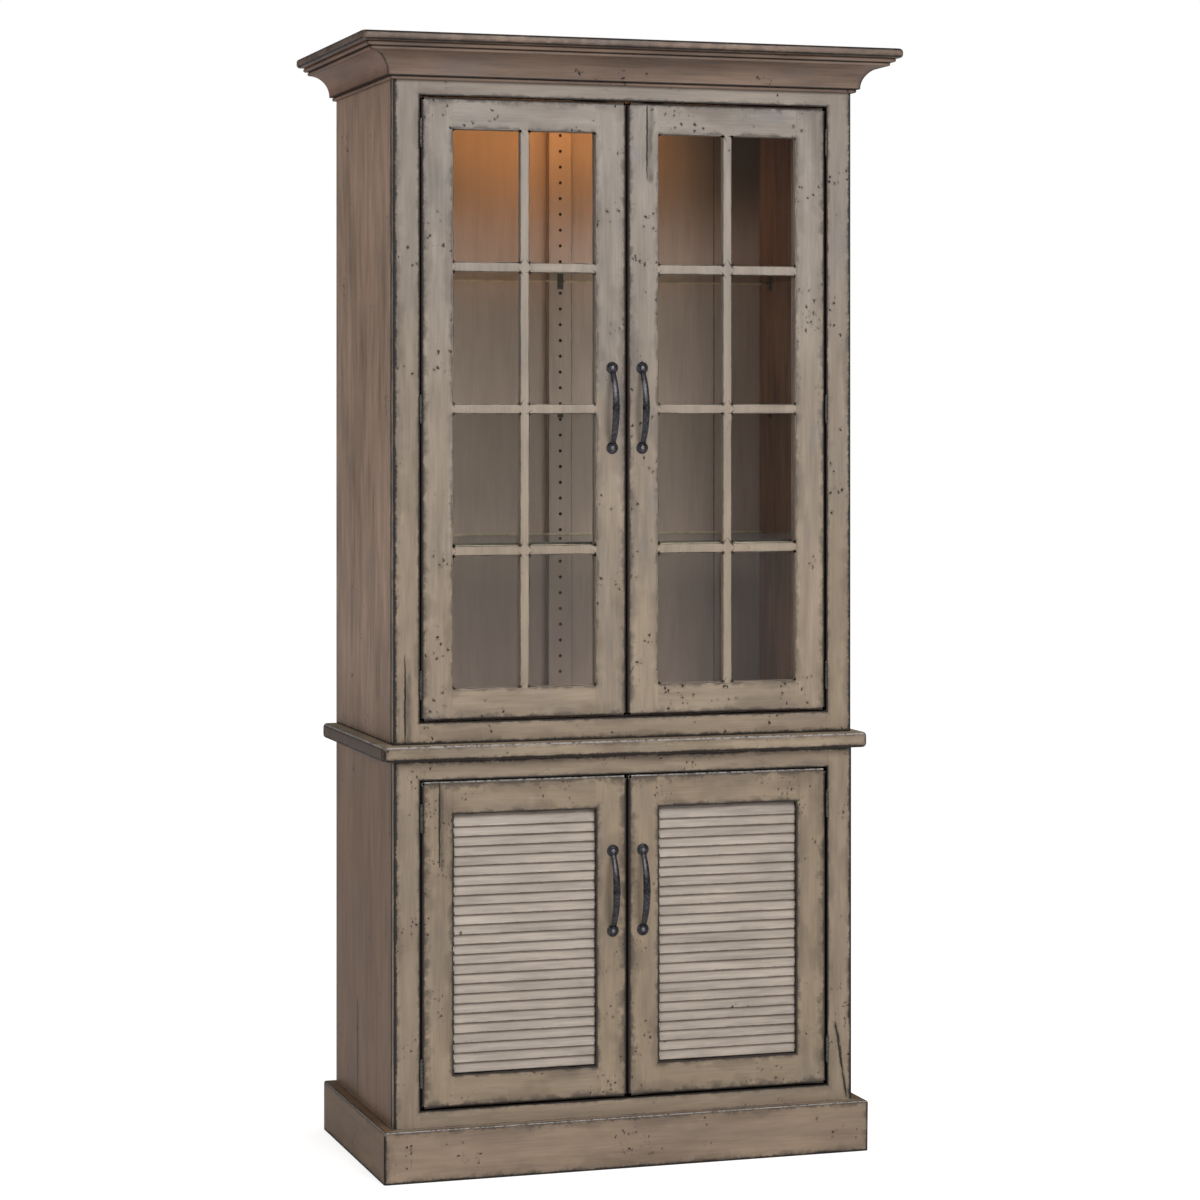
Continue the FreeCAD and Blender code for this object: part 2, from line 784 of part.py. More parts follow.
def save_doors():
    """Both pairs of doors with their glass, louvres, pulls and hinge leaves."""
    leaf = door_leaf(upper_face_y, upper_opening_bottom, upper_opening_top)
    rebate_y = upper_face_y + glass_lip
    rebate = grown(upper_sight, glass_rebate, rebate_y, upper_face_y + door_thickness + cut_overrun)
    stiles, rails = door_boards(leaf, upper_sight, [rebate])
    glass_margin = glass_rebate - glass_side_clearance
    glass = grown(upper_sight, glass_margin, rebate_y, rebate_y + glass_thickness)
    save_both_hands("upper", "stiles", stiles)
    save_both_hands("upper", "rails", rails)
    save_both_hands("upper", "muntins", muntins())
    save_both_hands("upper", "glass", [glass])
    save_both_hands("upper", "glass_stops", glass_stops())

    leaf = door_leaf(lower_face_y, lower_opening_bottom, lower_opening_top)
    stiles, rails = door_boards(leaf, lower_sight, [louvre_groove()])
    save_both_hands("lower", "stiles", stiles)
    save_both_hands("lower", "rails", rails)
    save_both_hands("lower", "louvres", slats())

    frame_leaves = []
    pins = []
    for level, face_y, opening_top, pull_z, heights in (
        ("upper", upper_face_y, upper_opening_top, upper_pull_height, upper_hinges),
        ("lower", lower_face_y, lower_opening_top, lower_pull_height, lower_hinges),
    ):
        save_both_hands(level, "pull", [pull(face_y, pull_z)])
        save_both_hands(level, "strike", [strike(face_y, opening_top)])
        save_both_hands(level, "hinge_leaves", [hinge_leaf(face_y, z, False) for z in heights])
        for z in heights:
            frame_leaves += pair(hinge_leaf(face_y, z, True))
            pins += pair(hinge_pin(face_y, z))
    save("hinge_frame_leaves", frame_leaves)
    save("hinge_pins", pins)


upper_sight = door_sight(upper_opening_bottom, upper_opening_top, upper_door_rail_height)
lower_sight = door_sight(lower_opening_bottom, lower_opening_top, lower_door_rail_height)
upper_hinges = [
    upper_opening_bottom + hinge_from_end,
    (upper_opening_bottom + upper_opening_top) / 2,
    upper_opening_top - hinge_from_end,
]
lower_hinges = [lower_opening_bottom + hinge_from_end, lower_opening_top - hinge_from_end]

os.makedirs("parts", exist_ok=True)
save_case()
save_inside()
save_doors()
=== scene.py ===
import logging
import math
from dataclasses import dataclass, field
from enum import Enum
from typing import Callable, Optional, Sequence

import bpy
import numpy as np
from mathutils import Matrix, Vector


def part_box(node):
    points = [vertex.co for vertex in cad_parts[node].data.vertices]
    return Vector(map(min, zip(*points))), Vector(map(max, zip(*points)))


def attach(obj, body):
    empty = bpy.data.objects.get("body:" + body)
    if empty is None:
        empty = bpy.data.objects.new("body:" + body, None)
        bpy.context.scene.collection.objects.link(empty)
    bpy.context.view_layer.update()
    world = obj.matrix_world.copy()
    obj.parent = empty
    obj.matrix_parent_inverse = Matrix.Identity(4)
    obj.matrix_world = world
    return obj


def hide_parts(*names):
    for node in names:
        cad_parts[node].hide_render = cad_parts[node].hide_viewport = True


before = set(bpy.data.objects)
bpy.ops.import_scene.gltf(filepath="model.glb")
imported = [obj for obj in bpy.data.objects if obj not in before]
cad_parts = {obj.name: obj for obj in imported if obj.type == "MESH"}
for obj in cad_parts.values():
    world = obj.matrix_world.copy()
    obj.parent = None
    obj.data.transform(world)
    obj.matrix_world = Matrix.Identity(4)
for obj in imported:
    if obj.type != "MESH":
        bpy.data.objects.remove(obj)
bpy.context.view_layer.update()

LOG = logging.getLogger("china_cabinet")

Box = tuple[Vector, Vector]
Colour = tuple[float, float, float]
Outline = list[tuple[float, float]]
Piece = bpy.types.Object
Socket = bpy.types.NodeSocket
Group = bpy.types.NodeTree
Place = Callable[[Vector], float]

MM = 0.001
FAR = 1.0
EVERYWHERE: Box = (Vector((-FAR, -FAR, -FAR)), Vector((FAR, FAR, 3 * FAR)))
WELD = 2e-6
SMOOTH_UNDER = math.radians(35)
UPRIGHT = math.pi / 2


class Axis(Enum):
    """A direction of the cabinet's frame."""

    X = 0
    Y = 1
    Z = 2


class Side(Enum):
    """The left or right hand of the cabinet, as one faces it."""

    LEFT = -1
    RIGHT = 1

    @property
    def word(self) -> str:
        """The side's name as the nodes and bodies spell it."""
        return self.name.lower()

    def between(self, a: float, b: float) -> tuple[float, float]:
        """The lower and higher x of two distances out from the middle, on this side."""
        return min(self.value * a, self.value * b), max(self.value * a, self.value * b)


def rgb(code: str) -> Colour:
    """Turn a screen colour into the linear one that a shader reads.

    Args:
        code: six hexadecimal digits.

    Returns:
        Linear red, green and blue.
    """
    parts = [int(code[place : place + 2], 16) / 255 for place in (0, 2, 4)]
    return tuple(p / 12.92 if p <= 0.04045 else ((p + 0.055) / 1.055) ** 2.4 for p in parts)


# Modelling by hand: everything is chosen by its place, then an operator shapes it


def look_at_only(piece: Piece) -> None:
    """Deselect everything, then select one piece and make it active.

    Args:
        piece: the piece to work on.
    """
    if bpy.context.object and bpy.context.object.mode != "OBJECT":
        bpy.ops.object.mode_set(mode="OBJECT")
    bpy.ops.object.select_all(action="DESELECT")
    piece.select_set(True)
    bpy.context.view_layer.objects.active = piece


def pick(piece: Piece, kind: str, test: Callable[..., bool]) -> int:
    """Go into edit mode with only the chosen parts of a mesh selected.

    Args:
        piece: the mesh to edit.
        kind: VERT, EDGE or FACE.
        test: takes a corner's place, an edge's two ends, or a face's centre and normal.

    Returns:
        How many parts were chosen.
    """
    look_at_only(piece)
    bpy.ops.object.mode_set(mode="EDIT")
    bpy.ops.mesh.select_mode(type=kind)
    bpy.ops.mesh.select_all(action="DESELECT")
    bpy.ops.object.mode_set(mode="OBJECT")
    mesh = piece.data
    count = 0
    if kind == "VERT":
        for vertex in mesh.vertices:
            vertex.select = test(vertex.co)
            count += vertex.select
    elif kind == "EDGE":
        for edge in mesh.edges:
            edge.select = test(*(mesh.vertices[corner].co for corner in edge.vertices))
            count += edge.select
    else:
        for face in mesh.polygons:
            face.select = test(face.center, face.normal)
            count += face.select
    bpy.ops.object.mode_set(mode="EDIT")
    return count


def pick_all(piece: Piece) -> None:
    """Go into edit mode with the whole mesh selected.

    Args:
        piece: the mesh to edit.
    """
    look_at_only(piece)
    bpy.ops.object.mode_set(mode="EDIT")
    bpy.ops.mesh.select_mode(type="VERT")
    bpy.ops.mesh.select_all(action="SELECT")


def done(piece: Piece) -> Piece:
    """Leave edit mode with doubles merged and every face turned outwards.

    Args:
        piece: the edited mesh.

    Returns:
        The same piece.
    """
    pick_all(piece)
    bpy.ops.mesh.remove_doubles(threshold=WELD)
    bpy.ops.mesh.normals_make_consistent(inside=False)
    bpy.ops.object.mode_set(mode="OBJECT")
    return piece


def primitive(add: Callable[..., object], name: str, **settings: object) -> Piece:
    """Add a primitive by itself, its place, turn and size in its mesh.

    Args:
        add: the operator that adds it.
        name: the piece's name.
        settings: the operator's options.

    Returns:
        The new piece.
    """
    bpy.ops.object.select_all(action="DESELECT")
    add(**settings)
    piece = bpy.context.object
    piece.name = name
    bpy.ops.object.transform_apply(location=True, rotation=True, scale=True)
    return piece


def box_piece(name: str, low: Vector, high: Vector) -> Piece:
    """Add a block between two corners."""
    add = bpy.ops.mesh.primitive_cube_add
    return primitive(add, name, size=1, location=(low + high) / 2, scale=high - low)


def bevel(piece: Piece, test: Callable[..., bool], width: float, segments: int) -> None:
    """Round the chosen edges of a piece.

    Args:
        piece: the mesh to round.
        test: takes an edge's two ends.
        width: how far the round reaches from the edge.
        segments: how many facets it has.
    """
    if pick(piece, "EDGE", test):
        bpy.ops.mesh.bevel(
            offset=width, segments=segments, profile=0.5, affect="EDGES", clamp_overlap=False
        )
    bpy.ops.object.mode_set(mode="OBJECT")


def apply_modifier(piece: Piece, kind: str, **settings: object) -> None:
    """Add a modifier, set it and apply it.

    Args:
        piece: the piece to change.
        kind: the modifier's type.
        settings: its options.
    """
    look_at_only(piece)
    modifier = piece.modifiers.new(kind.title(), kind)
    for name, value in settings.items():
        setattr(modifier, name, value)
    bpy.ops.object.modifier_apply(modifier=modifier.name)


def carve(piece: Piece, cutter: Piece) -> None:
    """Cut one piece out of another and throw the cutter away."""
    apply_modifier(piece, "BOOLEAN", object=cutter, operation="DIFFERENCE", solver="EXACT")
    bpy.data.objects.remove(cutter, do_unlink=True)


def join(name: str, parts: Sequence[Piece]) -> Piece:
    """Make one object of several.

    Args:
        name: the joined piece's name.
        parts: what it is made of.

    Returns:
        The joined piece.
    """
    look_at_only(parts[0])
    for part in parts:
        part.select_set(True)
    if len(parts) > 1:
        bpy.ops.object.join()
    piece = bpy.context.view_layer.objects.active
    piece.name = name
    piece.data.name = name
    return piece


def copy_of(piece: Piece, move: Vector) -> Piece:
    """Copy a piece with its own mesh, moved.

    Args:
        piece: what to copy.
        move: how far and which way the copy goes.

    Returns:
        The copy.
    """
    twin = piece.copy()
    twin.data = piece.data.copy()
    bpy.context.scene.collection.objects.link(twin)
    if move.length:
        pick_all(twin)
        bpy.ops.transform.translate(value=move)
        bpy.ops.object.mode_set(mode="OBJECT")
    return twin


def draw_line(name: str, points: Sequence[Vector]) -> Piece:
    """Draw a line of edges from a single corner, and stay in edit mode.

    Args:
        name: the piece's name.
        points: the line's corners in order.

    Returns:
        The piece.
    """
    add = bpy.ops.mesh.primitive_plane_add
    piece = primitive(add, name, size=MM, location=points[0])
    pick_all(piece)
    bpy.ops.mesh.merge(type="CENTER")
    for a, b in zip(points, points[1:]):
        bpy.ops.mesh.extrude_vertices_move(TRANSFORM_OT_translate={"value": b - a})
    bpy.ops.mesh.select_all(action="SELECT")
    return piece


def section_piece(name: str, outline: Sequence[Vector], run: Vector) -> Piece:
    """Draw a closed section and draw it out along a run.

    Args:
        name: the piece's name.
        outline: the section's corners in order, without the first one again.
        run: how far and which way the section is drawn out.

    Returns:
        The closed solid.
    """
    piece = draw_line(name, outline)
    bpy.ops.mesh.edge_face_add()
    bpy.ops.mesh.select_all(action="SELECT")
    bpy.ops.mesh.extrude_region_move(TRANSFORM_OT_translate={"value": run})
    return done(piece)


def turned_piece(name: str, profile: Outline, foot: Vector, axis: Axis, steps: int) -> Piece:
    """Spin a profile round an axis, as on a lathe.

    Args:
        name: the piece's name.
        profile: (radius, distance along the axis) pairs, in order.
        foot: the point of the axis that distances start from.
        axis: which way the axis runs.
        steps: how many facets go round.

    Returns:
        The closed solid.
    """
    along = Vector([float(axis.value == place) for place in range(3)])
    out = Vector((1, 0, 0)) if axis is not Axis.X else Vector((0, 1, 0))
    piece = draw_line(name, [foot + out * radius + along * distance for radius, distance in profile])
    bpy.ops.mesh.spin(steps=steps, angle=2 * math.pi, center=foot, axis=along)
    return done(piece)


def arc(centre: tuple[float, float], radius: float, start: float, end: float, steps: int) -> Outline:
    """Points of a round stretch of a section, from one angle to another in degrees."""
    angles = [math.radians(start + (end - start) * step / steps) for step in range(steps + 1)]
    return [(centre[0] + radius * math.cos(a), centre[1] + radius * math.sin(a)) for a in angles]


# Marks that the paint reads from a mesh


@dataclass
class Marks:
    """Where a board's edges, its opening, its grain and its grooves lie, for the glaze and the painted light
    and shade to gather at.
    """

    grain: Axis
    seed: float
    whole: Optional[Box] = None
    hole: Optional[Box] = None
    edge: Place = lambda p: FAR
    groove: Place = lambda p: 0.0

    @staticmethod
    def seen_from_front(box: Box) -> Box:
        """A box whose outline counts only as seen from the front, so that its thickness is edge too: the
        door's edge faces take the dark line, glaze and painted shade in the gap round the door.
        """
        return Vector((box[0].x, FAR, box[0].z)), Vector((box[1].x, FAR, box[1].z))

    def write(self, piece: Piece) -> None:
        """Write the marks on a mesh as attributes in metres.

        Args:
            piece: the board.
        """
        mesh = piece.data
        count = len(mesh.vertices)
        places = np.empty(count * 3, np.float32)
        mesh.vertices.foreach_get("co", places)
        places = places.reshape(count, 3)
        low, high = (np.array(c) for c in self.whole) if self.whole else (places.min(0), places.max(0))
        order = {Axis.X: (2, 1, 0), Axis.Y: (0, 2, 1), Axis.Z: (0, 1, 2)}[self.grain]
        shift = np.array([self.seed, self.seed * 1.7, self.seed * 5.3])
        past_low, past_high = np.full((count, 3), FAR), np.full((count, 3), FAR)
        if self.hole:
            past_low, past_high = np.array(self.hole[0]) - places, places - np.array(self.hole[1])
        self._vector(mesh, "board_place", places[:, order] + shift)
        self._vector(mesh, "from_low", places - low)
        self._vector(mesh, "from_high", high - places)
        self._vector(mesh, "hole_low", past_low)
        self._vector(mesh, "hole_high", past_high)
        rows = [Vector(p) for p in places]
        self._number(mesh, "edge_distance", [self.edge(p) for p in rows])
        self._number(mesh, "groove", [self.groove(p) for p in rows])

    @staticmethod
    def _vector(mesh: bpy.types.Mesh, name: str, values: np.ndarray) -> None:
        """Write one vector for each corner of the mesh."""
        layer = mesh.attributes.get(name) or mesh.attributes.new(name, "FLOAT_VECTOR", "POINT")
        layer.data.foreach_set("vector", values.astype(np.float32).ravel())

    @staticmethod
    def _number(mesh: bpy.types.Mesh, name: str, values: Sequence[float]) -> None:
        """Write one number for each corner of the mesh."""
        layer = mesh.attributes.get(name) or mesh.attributes.new(name, "FLOAT", "POINT")
        layer.data.foreach_set("value", np.array(values, np.float32))


def coat(piece: Piece, material: bpy.types.Material) -> None:
    """Give a piece its only material."""
    piece.data.materials.clear()
    piece.data.materials.append(material)


def dress(piece: Piece, material: bpy.types.Material, slot: str, body: str, *nodes: str) -> None:
    """Give a finished piece its material, smooth its shading, hang it on its body and hide the nodes it
    stands for.

    Args:
        piece: the finished piece.
        material: the only material it has.
        slot: the name of its material slot; not used.
        body: the body that it rides on.
        nodes: the CAD nodes that it stands for.
    """
    coat(piece, material)
    look_at_only(piece)
    bpy.ops.object.shade_smooth_by_angle(angle=SMOOTH_UNDER)
    apply_modifier(piece, "WEIGHTED_NORMAL", keep_sharp=True)
    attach(piece, body)
    if nodes:
        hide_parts(*nodes)
    LOG.info("%s: %d faces on %s", piece.name, len(piece.data.polygons), body)


# Shader node graphs


@dataclass(frozen=True)
class Grain:
    """One kind of soft noise: how fine, how rough, and how far it is drawn out along the board."""

    scale: float
    detail: float = 2.0
    rough: float = 0.5
    stretch: float = 1.0


class Graph:
    """Adds nodes to one node tree and links them."""

    def __init__(self, tree: Group) -> None:
        """Keep the tree."""
        self.tree = tree

    def node(self, kind: str, **settings: object) -> bpy.types.Node:
        """Add one node and set its options.

        Args:
            kind: the node's type.
            settings: its options.

        Returns:
            The node.
        """
        made = self.tree.nodes.new(kind)
        for name, value in settings.items():
            setattr(made, name, value)
        return made

    def feed(self, socket: Socket, source: object) -> None:
        """Link a socket to an output, or set its value.

        Args:
            socket: the input to feed.
            source: an output, a number, a vector or a colour.
        """
        if isinstance(source, Socket):
            self.tree.links.new(source, socket)
        elif isinstance(source, tuple) and len(source) == 3 and socket.type == "RGBA":
            socket.default_value = (*source, 1)
        else:
            socket.default_value = source

    def fill(self, node: bpy.types.Node, **inputs: object) -> bpy.types.NodeOutputs:
        """Feed a node's inputs, given by name with _ for a space.

        Args:
            node: the node.
            inputs: what each input takes.

        Returns:
            The node's outputs.
        """
        for name, source in inputs.items():
            self.feed(node.inputs[name.replace("_", " ")], source)
        return node.outputs

    def value(self, operation: str, *inputs: object, clamp: bool = False) -> Socket:
        """Work out a number from others.

        Args:
            operation: the Math node's operation.
            inputs: one to three numbers.
            clamp: whether the result is held between 0 and 1.

        Returns:
            The result.
        """
        made = self.node("ShaderNodeMath", operation=operation, use_clamp=clamp)
        for socket, source in zip(made.inputs, inputs):
            self.feed(socket, source)
        return made.outputs[0]

    def times(self, a: object, b: object) -> Socket:
        """Multiply two numbers."""
        return self.value("MULTIPLY", a, b)

    def plus(self, a: object, b: object) -> Socket:
        """Add two numbers."""
        return self.value("ADD", a, b)

    def minus(self, a: object, b: object) -> Socket:
        """Take the second number from the first."""
        return self.value("SUBTRACT", a, b)

    def most(self, a: object, b: object) -> Socket:
        """The larger of two numbers."""
        return self.value("MAXIMUM", a, b)

    def least(self, a: object, b: object) -> Socket:
        """The smaller of two numbers."""
        return self.value("MINIMUM", a, b)

    def below(self, a: object, b: object) -> Socket:
        """One where the first number is under the second, else nought."""
        return self.value("LESS_THAN", a, b)

    def size_of(self, a: object) -> Socket:
        """A number without its sign."""
        return self.value("ABSOLUTE", a)

    def swing(self, noise: object, reach: object) -> Socket:
        """Turn noise into a swing to either side of nought."""
        return self.times(self.minus(noise, 0.5), reach)

    def vector(self, operation: str, *inputs: object) -> Socket:
        """Work out a vector, a length or a dot product from vectors.

        Args:
            operation: the Vector Math node's operation.
            inputs: one to three vectors.

        Returns:
            The result.
        """
        made = self.node("ShaderNodeVectorMath", operation=operation)
        for socket, source in zip(made.inputs, inputs):
            self.feed(socket, source)
        return made.outputs["Value" if operation in ("LENGTH", "DOT_PRODUCT") else "Vector"]

    def split(self, source: object) -> bpy.types.NodeOutputs:
        """Take a vector apart."""
        return self.fill(self.node("ShaderNodeSeparateXYZ"), Vector=source)

    def mix(self, factor: object, a: object, b: object) -> Socket:
        """Mix two colours.

        Args:
            factor: the second colour's share.
            a: the first colour.
            b: the second colour.

        Returns:
            The mixed colour.
        """
        made = self.node("ShaderNodeMix", data_type="RGBA")
        for place, source in zip(("Factor", 6, 7), (factor, a, b)):
            self.feed(made.inputs[place], source)
        return made.outputs[2]

    def place(self) -> Socket:
        """The spot's place in the cabinet's frame."""
        return self.node("ShaderNodeTexCoord").outputs["Object"]

    def seeded(self, place: object, seed: object) -> Socket:
        """Move a place by a seed along every axis.

        Args:
            place: the place.
            seed: the pattern's seed.

        Returns:
            The moved place.
        """
        offset = self.node("ShaderNodeCombineXYZ")
        for socket in offset.inputs:
            self.feed(socket, seed)
        return self.vector("ADD", place, offset.outputs[0])

    def noise(self, place: object, grain: Grain) -> Socket:
        """Soft noise between 0 and 1.

        Args:
            place: where it is read.
            grain: its kind.

        Returns:
            The noise.
        """
        if grain.stretch != 1.0:
            place = self.vector("MULTIPLY", place, (1, 1, grain.stretch))
        made = self.node("ShaderNodeTexNoise")
        self.fill(made, Vector=place, Scale=grain.scale, Detail=grain.detail, Roughness=grain.rough)
        return made.outputs["Fac"]

    def wander(self, place: object, grain: Grain, reach: float) -> Socket:
        """Push a place about, so that a pattern read there is uneven.

        Args:
            place: the place.
            grain: the kind of noise that pushes it.
            reach: how far it is pushed.

        Returns:
            The pushed place.
        """
        made = self.node("ShaderNodeTexNoise")
        self.fill(made, Vector=place, Scale=grain.scale, Detail=grain.detail)
        off = self.vector("SUBTRACT", made.outputs["Color"], (0.5, 0.5, 0.5))
        return self.vector("ADD", place, self.vector("MULTIPLY", off, (reach, reach, reach)))

    def span(
        self, source: object, low: object, high: object, to_low: object = 0.0, to_high: object = 1.0,
        shape: str = "SMOOTHSTEP",
    ) -> Socket:
        """Bring a number from one range to another, held at the ends.

        Args:
            source: the number.
            low: where the first range starts.
            high: where it ends.
            to_low: the result at its start.
            to_high: the result at its end.
            shape: SMOOTHSTEP or LINEAR.

        Returns:
            The number in the second range.
        """
        made = self.node("ShaderNodeMapRange", interpolation_type=shape)
        self.fill(made, Value=source, From_Min=low, From_Max=high, To_Min=to_low, To_Max=to_high)
        return made.outputs["Result"]

    def marked(self, name: str, output: str = "Vector") -> Socket:
        """Read a mark from the mesh."""
        return self.node("ShaderNodeAttribute", attribute_name=name).outputs[output]

    def placed(self, group: Group, **inputs: object) -> bpy.types.NodeOutputs:
        """Place a node group, its inputs given by name with _ for a space."""
        return self.fill(self.node("ShaderNodeGroup", node_tree=group), **inputs)

    def bump(self, height: object, strength: float, distance: float) -> Socket:
        """Turn a height into a bent normal."""
        made = self.node("ShaderNodeBump")
        return self.fill(made, Strength=strength, Distance=distance, Height=height)["Normal"]


class Effect:
    """A shader node group that several finishes share."""

    def __init__(self, name: str, inputs: dict[str, str], outputs: dict[str, str]) -> None:
        """Make the group and its sockets.

        Args:
            name: the group's name.
            inputs: each input's name and kind: Float, Vector or Color.
            outputs: each output's name and kind.
        """
        self.tree = bpy.data.node_groups.new(name, "ShaderNodeTree")
        for way, sockets in (("INPUT", inputs), ("OUTPUT", outputs)):
            for socket, kind in sockets.items():
                self.tree.interface.new_socket(name=socket, in_out=way, socket_type="NodeSocket" + kind)
        self.graph = Graph(self.tree)
        self.given = self.graph.node("NodeGroupInput").outputs
        self.result = self.graph.node("NodeGroupOutput")


def brushed_glaze() -> Group:
    """Paint with a dark glaze brushed along the grain and cool grey smudges over it.

    Returns:
        The node group.
    """
    colours = {"Paint": "Color", "Glaze": "Color", "Cool": "Color"}
    amounts = {"Streaks": "Float", "Mottle": "Float", "Coolness": "Float"}
    made = Effect("Brushed glaze", colours | amounts, {"Color": "Color", "Streak": "Float"})
    g, given = made.graph, made.given
    place = g.marked("board_place")
    fine = g.noise(place, Grain(270, 4, 0.65, 0.05))
    broad = g.noise(place, Grain(52, 3, 0.55, 0.12))
    cloud = g.noise(place, Grain(10, 4, 0.55, 0.4))
    streak = g.times(g.plus(g.swing(fine, 1.2), g.swing(broad, 1.5)), given["Streaks"])
    cloudy = g.swing(cloud, given["Mottle"])
    share = g.value("ADD", g.plus(streak, cloudy), 0.3, clamp=True)
    glazed = g.mix(share, given["Paint"], given["Glaze"])
    elsewhere = g.vector("ADD", g.vector("MULTIPLY", place, (1, 1, 0.3)), (3.1, 7.7, 1.3))
    patch = g.span(g.noise(elsewhere, Grain(16, 4, 0.6)), 0.5, 0.72)
    cool = g.times(g.times(patch, g.span(fine, 0.3, 0.6, 0.45, 1.0)), given["Coolness"])
    g.fill(made.result, Color=g.mix(cool, glazed, given["Cool"]), Streak=share)
    return made.tree


def board_edges() -> Group:
    """How far a spot lies from the board's outline and from its opening, in metres.

    Returns:
        The node group.
    """
    made = Effect("Board edges", {}, {"Outline": "Float", "Opening": "Float"})
    g = made.graph
    low, high = g.split(g.marked("from_low")), g.split(g.marked("from_high"))
    x, y, z = (g.most(g.least(low[n], high[n]), 0.0) for n in range(3))
    outline = g.most(g.least(x, y), g.least(g.most(x, y), z))
    past_low, past_high = g.split(g.marked("hole_low")), g.split(g.marked("hole_high"))
    gap_x, gap_z = (g.most(past_low[n], past_high[n]) for n in (0, 2))
    opening = g.most(g.most(gap_x, gap_z), 0.0)
    drawn = g.marked("edge_distance", "Fac")
    g.fill(made.result, Outline=outline, Opening=g.least(opening, drawn))
    return made.tree


def rubbed_line() -> Group:
    """A ragged dark line along an edge, with a softer smudge beside it and a painted highlight on the edge.

    Returns:
        The node group.
    """
    inputs = dict.fromkeys(("Distance", "Width", "Smudge", "Raggedness", "Seed"), "Float")
    made = Effect("Rubbed line", inputs, dict.fromkeys(("Line", "Smudge", "Ridge"), "Float"))
    g, given = made.graph, made.given
    distance = given["Distance"]
    spot = g.seeded(g.place(), given["Seed"])
    chips = g.noise(spot, Grain(170, 4, 0.7))
    patches = g.noise(spot, Grain(24, 3, 0.6))
    swing = g.plus(g.swing(chips, 2.0), g.swing(patches, 2.2))
    reach = g.plus(1.0, g.times(swing, given["Raggedness"]))
    width = g.times(given["Width"], g.most(reach, 0.15))
    line = g.span(distance, g.times(width, 0.5), g.times(width, 1.25), 1.0, 0.0)
    # Painted highlight: a pale line on the rounded edge, broken up by the chips.
    ridge = g.times(g.span(distance, 1.4 * MM, 2.6 * MM, 1.0, 0.0), g.span(chips, 0.36, 0.56))
    near = g.span(g.noise(spot, Grain(38, 5, 0.68)), 0.36, 0.66, 0.35, 1.7)
    near = g.span(distance, 0.0, g.times(given["Smudge"], near), 1.0, 0.0)
    far = g.span(g.noise(spot, Grain(9, 3, 0.6)), 0.44, 0.7, 0.5, 4.2)
    far = g.span(distance, 0.0, g.times(given["Smudge"], far), 0.42, 0.0)
    g.fill(made.result, Line=line, Smudge=g.most(near, far), Ridge=ridge)
    return made.tree


def worm_holes() -> Group:
    """Clusters of small dark holes.

    Returns:
        The node group.
    """
    sockets = {"Amount": "Float", "Seed": "Float"}
    made = Effect("Worm holes", sockets, {"Hole": "Float", "Halo": "Float"})
    g, given = made.graph, made.given
    place = g.seeded(g.vector("ADD", g.place(), (0.31, 0.17, 0.53)), given["Seed"])
    bent = g.wander(place, Grain(210), 0.011)
    cells = g.node("ShaderNodeTexVoronoi", feature="F1")
    g.fill(cells, Vector=g.vector("MULTIPLY", bent, (1, 1, 0.75)), Scale=118.0)
    size = g.split(cells.outputs["Color"])
    radius = g.times(g.plus(0.11, g.times(size[1], 0.19)), g.span(size[0], 0.36, 0.4))
    cluster = g.noise(place, Grain(15))
    there = g.span(cluster, g.minus(0.75, given["Amount"]), g.minus(0.79, given["Amount"]))
    distance = cells.outputs["Distance"]
    hole = g.span(distance, g.times(radius, 0.75), g.times(radius, 1.1), 1.0, 0.0)
    halo = g.span(distance, radius, g.times(radius, 2.4), 1.0, 0.0)
    g.fill(made.result, Hole=g.times(hole, there), Halo=g.times(halo, there))
    return made.tree


def old_crack() -> Group:
    """A dark tapering line between two places, with a grey smudge to one side of it.

    Returns:
        The node group.
    """
    inputs = dict.fromkeys(("Start", "End", "Aside"), "Vector") | {"Width": "Float", "Smudge": "Float"}
    made = Effect("Old crack", inputs, {"Line": "Float", "Smudge": "Float"})
    g, given = made.graph, made.given
    place = g.wander(g.place(), Grain(70, 3), 4 * MM)
    along = g.vector("SUBTRACT", given["End"], given["Start"])
    from_start = g.vector("SUBTRACT", place, given["Start"])
    ahead = g.vector("DOT_PRODUCT", from_start, along)
    share = g.value("DIVIDE", ahead, g.vector("DOT_PRODUCT", along, along), clamp=True)
    foot = g.fill(g.node("ShaderNodeVectorMath", operation="SCALE"), Vector=along, Scale=share)["Vector"]
    offset = g.vector("SUBTRACT", from_start, foot)
    from_middle = g.size_of(g.minus(g.times(share, 2.0), 1.0))
    taper = g.minus(1.0, g.value("POWER", from_middle, 3.0))
    width = g.times(given["Width"], g.plus(g.times(taper, 0.7), 0.3))
    line = g.span(g.vector("LENGTH", offset), g.times(width, 0.5), width, 1.0, 0.0)
    beside = g.vector("LENGTH", g.vector("SUBTRACT", offset, given["Aside"]))
    cloud = g.span(g.noise(place, Grain(60, 3, 0.6, 0.3)), 0.35, 0.65, 0.35, 1.0)
    shown = g.times(g.span(beside, 0.0, given["Smudge"], 0.7, 0.0), cloud)
    g.fill(made.result, Line=line, Smudge=g.times(shown, g.span(share, 0.0, 0.08)))
    return made.tree


@dataclass
class Effects:
    """The shared node groups, built once."""

    glaze: Group = field(default_factory=brushed_glaze)
    edges: Group = field(default_factory=board_edges)
    rubbed: Group = field(default_factory=rubbed_line)
    holes: Group = field(default_factory=worm_holes)
    crack: Group = field(default_factory=old_crack)


def new_material(name: str) -> tuple[bpy.types.Material, Graph, bpy.types.ShaderNode]:
    """Start a material.

    Args:
        name: the finish's name.

    Returns:
        The material, its graph and its Principled shader.
    """
    made = bpy.data.materials.new(name)
    made.use_nodes = True
    return made, Graph(made.node_tree), made.node_tree.nodes["Principled BSDF"]


